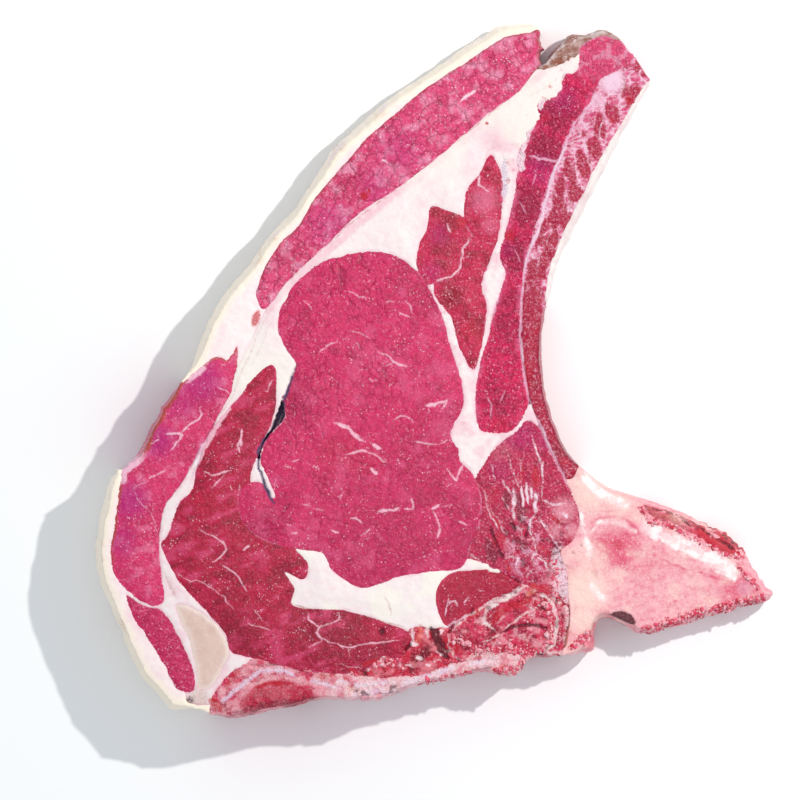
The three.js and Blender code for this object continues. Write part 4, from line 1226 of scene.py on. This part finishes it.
def soften(values, reach):
    """Rounds a closed run of values with a small bell-shaped window."""
    window = np.exp(-0.5 * (np.arange(-3 * reach, 3 * reach + 1) / reach) ** 2)
    window /= window.sum()
    total = np.zeros_like(values)
    for offset, weight in zip(range(-3 * reach, 3 * reach + 1), window):
        total += weight * np.roll(values, offset, axis=0)
    return total


def outward_normals(loop):
    """Unit vectors out of a counter-clockwise outline, into the hole for a clockwise one."""
    along = np.roll(loop, -1, axis=0) - np.roll(loop, 1, axis=0)
    along = along / np.maximum(np.linalg.norm(along, axis=1, keepdims=True), TINY)
    return np.stack([along[:, 1], -along[:, 0]], -1)


def wobbled(place):
    """Shifts points by a shared field, so that neighbouring outlines stay matched."""
    ragged = stroke_mask(place, RAGGED_EDGES, 2.0, 1.0)[:, None]
    return place + WOBBLE * drift(place, 4.5, 3) + RAGGED_WOBBLE * ragged * drift(place, 2.4, 5)


def natural_loop(loop):
    """An even, slightly irregular version of a solid's outline that just closes the seam."""
    loop = soften(even_points(loop, TOP_STEP), 1)
    return even_points(wobbled(loop + SEAM_OVERLAP * outward_normals(loop)), TOP_STEP)


def tree_of(points):
    tree = kdtree.KDTree(len(points))
    for index, (x, y) in enumerate(points):
        tree.insert((x, y, 0), index)
    tree.balance()
    return tree


def distances(tree, points):
    """How far each point lies from the nearest point of the tree."""
    return np.array([tree.find((x, y, 0))[2] for x, y in points])


def thickness(place):
    """The plain wedge's height above the table."""
    along = place @ WEDGE_DIRECTION
    return THIN_SIDE + (THICK_SIDE - THIN_SIDE) * smooth_share(along, WEDGE_START, WEDGE_END)


# The shape of one piece

def leaning(loop, outer, flare):
    """How far each outline point leans in at the top: along the silhouette only."""
    if not outer.any() or flare == 0:
        return np.zeros(len(loop))
    lean = np.where(outer, flare, 0.0)
    if not outer.all():
        lean = np.minimum(lean, LEAN_TO_SEAM * distances(tree_of(loop[~outer]), loop))
    normals = outward_normals(soften(loop, NORMAL_REACH))
    rim = np.flatnonzero(outer)
    for index in rim:
        facing = rim[normals[rim] @ normals[index] < OPPOSITE]
        if len(facing):
            width = np.linalg.norm(loop[facing] - loop[index], axis=1).min()
            lean[index] = min(lean[index], LEAN_TO_WIDTH * width)
    return soften(lean, NORMAL_REACH) * outer


def grid_inside(loops, step):
    """Points of a triangular grid that lie inside the loops and off their edges."""
    low = np.min(loops[0], axis=0)
    high = np.max(loops[0], axis=0)
    starts = np.vstack(loops)
    ends = np.vstack([np.roll(loop, -1, axis=0) for loop in loops])
    rows = []
    row_height = step * math.sqrt(3) / 2
    for number in range(int((high[1] - low[1]) / row_height) + 1):
        y = low[1] + (number + ROW_OFFSET) * row_height
        crossing = (starts[:, 1] <= y) != (ends[:, 1] <= y)
        first, last = starts[crossing], ends[crossing]
        slope = (last - first)[:, 0] / (last - first)[:, 1]
        borders = np.sort(first[:, 0] + (y - first[:, 1]) * slope)
        x = np.arange(low[0] + (number % 2) * step / 2, high[0], step)
        within = np.searchsorted(borders, x) % 2 == 1
        rows.append(np.stack([x[within], np.full(within.sum(), y)], -1))
    points = np.vstack(rows)
    away = distances(tree_of(starts), points)
    return points[away > GRID_CLEARANCE * step]


def triangulated(loops, inner):
    """Joins outline and inner points into triangles that stay inside the outline."""
    points = np.vstack([*loops, inner]) if len(inner) else np.vstack(loops)
    edges = []
    start = 0
    for loop in loops:
        edges += [(start + k, start + (k + 1) % len(loop)) for k in range(len(loop))]
        start += len(loop)
    result = delaunay_2d_cdt([Vector(p) for p in points.tolist()], edges, [], 0, CUT_TOLERANCE, True)
    places = np.array([tuple(v) for v in result[0]])
    source = np.array([ids[0] if ids else -1 for ids in result[3]])
    triangles = np.array(result[2])
    on_rim = ((source < start) | (source == -1))[triangles].all(axis=1)
    keep = np.ones(len(triangles), bool)
    keep[on_rim] = inside_loops(places[triangles[on_rim]].mean(axis=1), loops)
    triangles = triangles[keep]
    a, b, c = (places[triangles[:, k]] for k in range(3))
    clockwise = (b - a)[:, 0] * (c - a)[:, 1] < (b - a)[:, 1] * (c - a)[:, 0]
    triangles[clockwise] = triangles[clockwise][:, ::-1]
    return places, triangles


class Piece:
    """One piece of the steak while its mesh is put together, in millimetres."""

    def __init__(self, name, loops, outer, flare):
        self.name = name
        self.loops = loops
        self.leans = [leaning(loop, edge, flare) for loop, edge in zip(loops, outer)]
        self.corners = []
        self.triangles = []
        self.plan = []
        self.rim = []
        self.count = 0

    def leaned(self, share):
        """The outlines moved in by this share of their lean."""
        return [
            loop - (share * lean)[:, None] * outward_normals(soften(loop, NORMAL_REACH))
            for loop, lean in zip(self.loops, self.leans)
        ]

    def add(self, corners, triangles, plan, rim):
        self.corners.append(corners)
        self.triangles.append(np.asarray(triangles) + self.count)
        self.plan.append(plan)
        self.rim.append(rim)
        self.count += len(corners)

    def face(self, loops, step):
        """The points and triangles of a face, and how far each point lies from its rim."""
        places, triangles = triangulated(loops, grid_inside(loops, step))
        return places, triangles, distances(tree_of(np.vstack(loops)), places)

    def top(self, relief):
        """The cut face."""
        loops = self.leaned(1)
        places, triangles, rim = self.face(loops, TOP_STEP)
        height = thickness(places) + relief(places, rim)
        self.add(np.column_stack([places, height]), triangles, places, rim)
        self.edge_heights = [thickness(loop) + relief(loop, np.zeros(len(loop))) for loop in loops]

    def walls(self):
        """The walls below every outline, in more rows where they can be seen."""
        rows = SIDE_ROWS if any(lean.any() for lean in self.leans) else SEAM_ROWS
        for which, loop in enumerate(self.loops):
            rings = [self.wall_ring(which, row / rows) for row in range(rows + 1)]
            corners = np.vstack(rings)
            near = np.arange(len(loop))
            beside = np.roll(near, -1)
            triangles = []
            for start in range(0, rows * len(loop), len(loop)):
                low, low_beside = near + start + len(loop), beside + start + len(loop)
                triangles.append(np.column_stack([near + start, low, beside + start]))
                triangles.append(np.column_stack([beside + start, low, low_beside]))
            depth = np.repeat(np.linspace(0, 1, rows + 1), len(loop))
            self.add(corners, np.vstack(triangles), *self.wall_marks(corners, depth))

    def wall_marks(self, corners, depth):
        """Where wall points take their marks from: the rim nearby, so that none runs straight down."""
        around = np.column_stack([corners[:, 0] + corners[:, 1], 1.4 * corners[:, 2]])
        started = smooth_share(depth, 0, WALL_MARK_START)
        rim = started * (WALL_MARK_RIM + WALL_MARK_RIM * rough_noise(around, 5, 62))
        place = corners[:, :2] + WALL_MARK_DRIFT * started[:, None] * drift(around, 8, 60)
        return place, np.maximum(rim, 0)

    def wall_ring(self, which, drop):
        """One ring of the wall, `drop` of the way down, swelling out at the belly."""
        if drop < 1 - BELLY_SHARE:
            lean = 1 - math.sin(0.5 * math.pi * drop / (1 - BELLY_SHARE))
        else:
            lean = UNDERCUT * (drop - 1 + BELLY_SHARE) / BELLY_SHARE
        ring = self.leaned(lean)[which]
        height = self.edge_heights[which] * (1 - drop) + SEAM_DROP * drop
        around = np.column_stack([ring[:, 0] + ring[:, 1], height])
        dents = BIG_DENT * rough_noise(around, 9.0, 8) + SMALL_DENT * rough_noise(around, 2.4, 9)
        dents = math.sin(math.pi * drop) * dents * (self.leans[which] > LEAST_LEAN_WITH_DENTS)
        ring = ring + dents[:, None] * outward_normals(self.loops[which])
        return np.column_stack([ring, height])

    def underside(self):
        places, triangles, rim = self.face(self.leaned(UNDERCUT), UNDERSIDE_STEP)
        height = SEAM_DROP * near_rim(rim, 0.0, RIM_ROLL)
        self.add(np.column_stack([places, height]), triangles[:, ::-1], places, rim)

    def to_object(self, painter):
        """The finished mesh, painted."""
        plan = np.vstack(self.plan)
        masks = painter(plan, np.concatenate(self.rim))
        return meshed(self.name, np.vstack(self.corners), np.vstack(self.triangles), masks)


def meshed(name, corners, triangles, masks):
    """A smooth-shaded object from corners in millimetres, with its masks as attributes."""
    mesh = bpy.data.meshes.new(name)
    mesh.from_pydata((corners * MM).tolist(), [], triangles.tolist())
    for mask in MASK_NAMES:
        layer = mesh.attributes.new(mask, "FLOAT", "POINT")
        values = np.clip(masks.get(mask, np.zeros(len(corners))), 0, 1)
        layer.data.foreach_set("value", values.astype(np.float32))
    work = bmesh.new()
    work.from_mesh(mesh)
    bmesh.ops.remove_doubles(work, verts=work.verts, dist=WELD_METRES)
    work.to_mesh(mesh)
    work.free()
    mesh.polygons.foreach_set("use_smooth", np.ones(len(mesh.polygons), bool))
    mesh.update()
    made = bpy.data.objects.new(name, mesh)
    bpy.context.scene.collection.objects.link(made)
    return made


# Shader nodes

PURPLE = "b81a72"
FURROW_SHADE = "800a30"
GLINT_PAINT = "f4ccd8"
BLOOD = "c00c28"
DARK_MEAT_AND_SHADE = "4c0618"
CREVICE_SHADE = "503c60"
FIBRE_BEND = 2.4
FIBRE_BEND_SIZE = 2.5
BUMP_HEIGHT = 0.4
SHINE = 0.3


def link(tree, value, socket):
    """Joins a socket, or writes a plain value, to an input."""
    if isinstance(value, bpy.types.NodeSocket):
        tree.links.new(value, socket)
    else:
        socket.default_value = value


def new_node(tree, kind, **inputs):
    node = tree.nodes.new(kind)
    for name, value in inputs.items():
        link(tree, value, node.inputs[name.replace("_", " ")])
    return node


def worked_out(tree, operation, first, second, clamp=False):
    """The result of a math node."""
    node = tree.nodes.new("ShaderNodeMath")
    node.operation = operation
    node.use_clamp = clamp
    link(tree, first, node.inputs[0])
    link(tree, second, node.inputs[1])
    return node.outputs[0]


def blended(tree, share, first, second):
    """The first colour turned into the second by a share."""
    node = tree.nodes.new("ShaderNodeMix")
    node.data_type = "RGBA"
    link(tree, share, node.inputs["Factor"])
    link(tree, first, node.inputs[6])
    link(tree, second, node.inputs[7])
    return node.outputs[2]


def ranged(tree, value, low, high, out_low=0.0, out_high=1.0):
    """A value from one range eased into another."""
    node = tree.nodes.new("ShaderNodeMapRange")
    node.interpolation_type = "SMOOTHSTEP"
    limits = {"From Min": low, "From Max": high, "To Min": out_low, "To Max": out_high}
    for name, number in limits.items():
        link(tree, number, node.inputs[name])
    link(tree, value, node.inputs["Value"])
    return node.outputs["Result"]


def painted(tree, name):
    """A mask painted on the mesh."""
    node = tree.nodes.new("ShaderNodeAttribute")
    node.attribute_name = name
    return node.outputs["Fac"]


def noise_node(tree, place, size, detail=3.0, roughness=0.6):
    """Noise whose bumps are `size` millimetres across."""
    node = new_node(tree, "ShaderNodeTexNoise", Vector=place, Scale=1 / (size * MM), Detail=detail,
                    Roughness=roughness)
    return node.outputs["Fac"]


def bundle_edges(tree, place, scale):
    """How far a point lies from the border between two crooked bundles of muscle fibre."""
    bend = tree.nodes.new("ShaderNodeTexNoise")
    link(tree, place, bend.inputs["Vector"])
    bend.inputs["Scale"].default_value = 1 / (FIBRE_BEND_SIZE * MM)
    centred = tree.nodes.new("ShaderNodeVectorMath")
    centred.operation = "MULTIPLY_ADD"
    link(tree, bend.outputs["Color"], centred.inputs[0])
    centred.inputs[1].default_value = [FIBRE_BEND * MM] * 3
    link(tree, place, centred.inputs[2])
    cells = tree.nodes.new("ShaderNodeTexVoronoi")
    cells.feature = "DISTANCE_TO_EDGE"
    link(tree, centred.outputs[0], cells.inputs["Vector"])
    link(tree, scale, cells.inputs["Scale"])
    return cells.outputs["Distance"]


def add_socket(group, name, kind, direction="INPUT"):
    group.interface.new_socket(name=name, in_out=direction, socket_type=f"NodeSocket{kind}")


def cut_tissue_group():
    """Turns the painted masks and fine grain into a cut surface's colour, gloss and height."""
    group = bpy.data.node_groups.new("cut_tissue", "ShaderNodeTree")
    for name in ("Flesh", "Deep", "Pale", "Fat", "Film", "Stain"):
        add_socket(group, name, "Color")
    for name in ("Painted Glints", "Mottle", "Gloss", "Bundle Scale", "Bundle Strength"):
        add_socket(group, name, "Float")
    add_socket(group, "Colour", "Color", "OUTPUT")
    add_socket(group, "Roughness", "Float", "OUTPUT")
    add_socket(group, "Height", "Float", "OUTPUT")
    given = group.nodes.new("NodeGroupInput").outputs
    place = group.nodes.new("ShaderNodeTexCoord").outputs["Object"]

    multiply = partial(worked_out, group, "MULTIPLY")
    add = partial(worked_out, group, "ADD")
    subtract = partial(worked_out, group, "SUBTRACT")
    faded = partial(ranged, group)
    mix = partial(blended, group)
    bumps = partial(noise_node, group, place)
    mask = partial(painted, group)

    mottle = bumps(2.2)
    grain = bumps(0.55, 2.0, 0.7)
    ragged = multiply(subtract(grain, 0.5), 0.9)

    def layered(surface, name, low, high, most, tint):
        """The surface under a mask with a frayed edge, and how far that mask shows."""
        shown = faded(add(mask(name), ragged), low, high, 0.0, most)
        return mix(shown, surface, tint), shown

    # The flesh, mottled darker and paler
    shade = add(multiply(faded(mottle, 0.38, 0.7), given["Mottle"]), mask("deep"), True)
    surface = mix(shade, given["Flesh"], given["Deep"])
    light = add(multiply(faded(bumps(0.9), 0.5, 0.72), given["Mottle"]), mask("pale"), True)
    surface = mix(light, surface, given["Pale"])
    surface = mix(mask("purple"), surface, colour(PURPLE))
    surface, _ = layered(surface, "stain", 0.15, 0.95, 0.85, given["Stain"])

    # Furrows between bundles of fibre, stronger in patches, painted darker as the shade in them
    edge = bundle_edges(group, place, given["Bundle Scale"])
    patches = faded(bumps(4.0), 0.38, 0.6, 0.15, 1.0)
    furrow_shade = multiply(multiply(faded(edge, 0.075, 0.0), given["Bundle Strength"]), patches)
    surface = mix(furrow_shade, surface, colour(FURROW_SHADE))

    # Pale dots in clusters, painted highlights that stand in for glints on the moist surface
    dots = new_node(group, "ShaderNodeTexVoronoi", Vector=place, Scale=1 / MM).outputs["Distance"]
    clusters = multiply(faded(bumps(6.0), 0.42, 0.6, 0.15, 1.0), faded(bumps(1.8), 0.46, 0.6))
    painted_glints = multiply(multiply(faded(dots, 0.36, 0.14), clusters), given["Painted Glints"])
    surface = mix(painted_glints, surface, colour(GLINT_PAINT))

    # Painted marks, each on top of the one before. The dark marks are mostly painted shade in cracks,
    #  wrinkles, furrows, folds, holes and between crumbs, with some truly dark meat; the crevice marks
    #  are mostly painted shade in the crevice and its slits.
    surface, _ = layered(surface, "film", 0.12, 0.95, 1.0, given["Film"])
    surface, _ = layered(surface, "blood", 0.12, 0.9, 0.9, colour(BLOOD))
    surface, _ = layered(surface, "fat", 0.15, 0.9, 1.0, given["Fat"])
    surface, shade_and_dark = layered(surface, "dark", 0.15, 1.0, 0.95, colour(DARK_MEAT_AND_SHADE))
    surface, _ = layered(surface, "crevice", 0.12, 0.9, 1.0, colour(CREVICE_SHADE))

    # Fine grain and mottling stand up, cracks sink in, and bundles swell like pillows
    height = subtract(add(multiply(grain, 0.8), mottle), multiply(shade_and_dark, 0.9))
    pillow = multiply(faded(edge, 0.0, 0.22), given["Bundle Strength"])
    height = add(height, multiply(pillow, 1.2))
    gloss = add(given["Gloss"], faded(grain, 0.3, 0.8, -0.08, 0.16), True)
    out = group.nodes.new("NodeGroupOutput").inputs
    group.links.new(surface, out["Colour"])
    group.links.new(gloss, out["Roughness"])
    group.links.new(height, out["Height"])
    return group


def tissue_material(tissue, group):
    """A moist cut surface in a tissue's colours."""
    material = bpy.data.materials.new(tissue.name)
    material.use_nodes = True
    tree = material.node_tree
    shader = tree.nodes["Principled BSDF"]
    cut = tree.nodes.new("ShaderNodeGroup")
    cut.node_tree = group
    for name, code in tissue.colours.items():
        cut.inputs[name].default_value = colour(code)
    for name, value in tissue.values.items():
        cut.inputs[name].default_value = value
    bump = new_node(tree, "ShaderNodeBump", Strength=tissue.bump, Distance=BUMP_HEIGHT * MM,
                    Height=cut.outputs["Height"])
    tree.links.new(cut.outputs["Colour"], shader.inputs["Base Color"])
    tree.links.new(cut.outputs["Roughness"], shader.inputs["Roughness"])
    tree.links.new(bump.outputs["Normal"], shader.inputs["Normal"])
    shader.inputs["Specular IOR Level"].default_value = SHINE
    return material


# Putting the steak together

def relief_of(painter, crown, roughness, sunken):
    """The height of a piece's cut face above the plain wedge, as a function of place."""
    def relief(plan, rim):
        masks = painter(plan, rim)
        height = -SEAM_DROP * near_rim(rim, 0.0, RIM_ROLL) + crown * smooth_share(rim, 0, CROWN_REACH)
        height = height + SWELL * rough_noise(plan, 14, 5) + RIPPLE * rough_noise(plan, 2.4, 6)
        height = height + roughness * rough_noise(plan, 1.8, 7)
        for mask, amount in MASK_HEIGHTS.items():
            height = height + amount * masks.get(mask, 0)
        if sunken is not None:
            height = np.where(inside_loop(plan, sunken), CREVICE_FLOOR - thickness(plan), height)
        return height

    return relief


def all_outlines():
    """The natural outlines of every piece, and which of their points lie on the silhouette."""
    outlines = {}
    for name in PIECES:
        outlines[name] = [natural_loop(loop) for loop in plan_loops(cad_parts[name])]
    points = []
    owners = []
    for number, loops in enumerate(outlines.values()):
        points += loops
        owners += [np.full(len(loop), number) for loop in loops]
    points = np.vstack(points)
    owners = np.concatenate(owners)
    outer = {}
    for number, (name, loops) in enumerate(outlines.items()):
        others = tree_of(points[owners != number])
        outer[name] = [distances(others, loop) > NEIGHBOUR_REACH for loop in loops]
    return outlines, outer


sunken_floor = crevice_loop(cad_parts["inner_fat"])
outlines, outer_points = all_outlines()
rind_tree = tree_of(np.vstack([
    loop[outer_points[name][which]]
    for name in PIECES
    for which, loop in enumerate(outlines[name])
]))


def rind_distance(plan):
    """How far a point lies from the steak's outside."""
    return distances(rind_tree, plan)


def crumb_ball():
    """The corners and triangles of a small ball of radius 1."""
    work = bmesh.new()
    bmesh.ops.create_icosphere(work, subdivisions=2, radius=1)
    corners = np.array([tuple(corner.co) for corner in work.verts])
    triangles = np.array([[corner.index for corner in face.verts] for face in work.faces])
    work.free()
    return corners, triangles


def scatter_crumbs(carrier, trails, seed):
    """Corners, triangles and masks of the crumbs a saw left on a piece, half sunk in its surface."""
    rng = np.random.default_rng(seed)
    mesh = carrier.data
    surface = BVHTree.FromPolygons([corner.co for corner in mesh.vertices],
                                   [face.vertices for face in mesh.polygons])
    ball, faces = crumb_ball()
    corners, triangles, shades = [], [], []
    for width, count, *pixels in trails:
        points = points_of(pixels)
        for _ in range(count):
            stop = rng.uniform(0, len(points) - 1)
            first = int(stop)
            place = points[first] + (stop - first) * (points[first + 1] - points[first])
            place = place + rng.normal(0, CRUMB_SPREAD * width * MM_PER_PIXEL, 2)
            landing = surface.ray_cast(Vector((*(place * MM), 0.1)), Vector((0, 0, -1)))[0]
            if landing is None:
                continue
            size = rng.uniform(*CRUMB_RADIUS) * rng.uniform(*CRUMB_STRETCH, 3)
            dented = ball * rng.uniform(*CRUMB_DENTS, (len(ball), 1))
            corners.append(dented * size + np.array(landing) / MM + [0, 0, rng.uniform(*CRUMB_SINK)])
            triangles.append(faces + len(ball) * len(triangles))
            shades.append(np.full(len(ball), rng.uniform(0, 1)))
    shade = np.concatenate(shades)
    masks = {"fat": 0.5 * smooth_share(shade, 0.8, 0.95), "pale": 0.8 * smooth_share(shade, 0.4, 0.6),
             "blood": 0.7 * (1 - smooth_share(shade, 0.05, 0.3))}
    return np.vstack(corners), np.vstack(triangles), masks


def build_crumbs(carriers, group):
    material = tissue_material(CRUMB, group)
    for seed, (node, trails) in enumerate(CRUMB_TRAILS.items()):
        made = meshed(f"{node}_crumbs", *scatter_crumbs(carriers[node], trails, seed))
        made.data.materials.append(material)
        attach(made, "root")


def build_steak(group):
    """Every piece of the steak, by its node's name."""
    materials = {}
    carriers = {}
    for name, (tissue, painter, flare, crown, roughness) in PIECES.items():
        piece = Piece(f"{name}_cut", outlines[name], outer_points[name], flare)
        piece.top(relief_of(painter, crown, roughness, sunken_floor if name == "inner_fat" else None))
        piece.walls()
        piece.underside()
        made = piece.to_object(painter)
        if tissue.name not in materials:
            materials[tissue.name] = tissue_material(tissue, group)
        made.data.materials.append(materials[tissue.name])
        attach(made, "root")
        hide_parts(name)
        carriers[name] = made
    return carriers


# Table, lamp and camera

def make_table():
    bpy.ops.mesh.primitive_plane_add(size=TABLE_SIZE, location=(0, 0, -TABLE_DROP))
    table = bpy.context.object
    table.name = "table"
    material = bpy.data.materials.new("white_table")
    material.use_nodes = True
    shader = material.node_tree.nodes["Principled BSDF"]
    shader.inputs["Base Color"].default_value = TABLE_TINT
    shader.inputs["Roughness"].default_value = 0.8
    shader.inputs["Specular IOR Level"].default_value = 0.0
    table.data.materials.append(material)


def make_lights():
    world = bpy.data.worlds.new("soft_studio")
    bpy.context.scene.world = world
    world.use_nodes = True
    background = world.node_tree.nodes["Background"]
    background.inputs["Color"].default_value = SKY_TINT
    background.inputs["Strength"].default_value = SKY_STRENGTH
    lamp = bpy.data.lights.new("key_lamp", "POINT")
    lamp.energy = LAMP_POWER
    lamp.color = LAMP_TINT
    lamp.shadow_soft_size = LAMP_RADIUS
    holder = bpy.data.objects.new("key_lamp", lamp)
    x, y = on_steak(LAMP_PIXEL) * MM
    holder.location = (x, y, LAMP_HEIGHT)
    bpy.context.scene.collection.objects.link(holder)


def make_camera():
    camera = bpy.data.cameras.new("camera")
    camera.sensor_width = SENSOR_WIDTH
    frame_width = PHOTO_SIDE * MM_PER_PIXEL * MM
    camera.lens = camera.sensor_width * (CAMERA_HEIGHT - CAMERA_FOCUS_PLANE) / frame_width
    camera.clip_end = 20
    holder = bpy.data.objects.new("camera", camera)
    x, y = on_steak((PHOTO_SIDE / 2, PHOTO_SIDE / 2)) * MM
    holder.location = (x, y, CAMERA_HEIGHT)
    bpy.context.scene.collection.objects.link(holder)
    bpy.context.scene.camera = holder


cut_tissue = cut_tissue_group()
build_crumbs(build_steak(cut_tissue), cut_tissue)
make_table()
make_lights()
make_camera()
bpy.context.scene.view_settings.view_transform = "Standard"
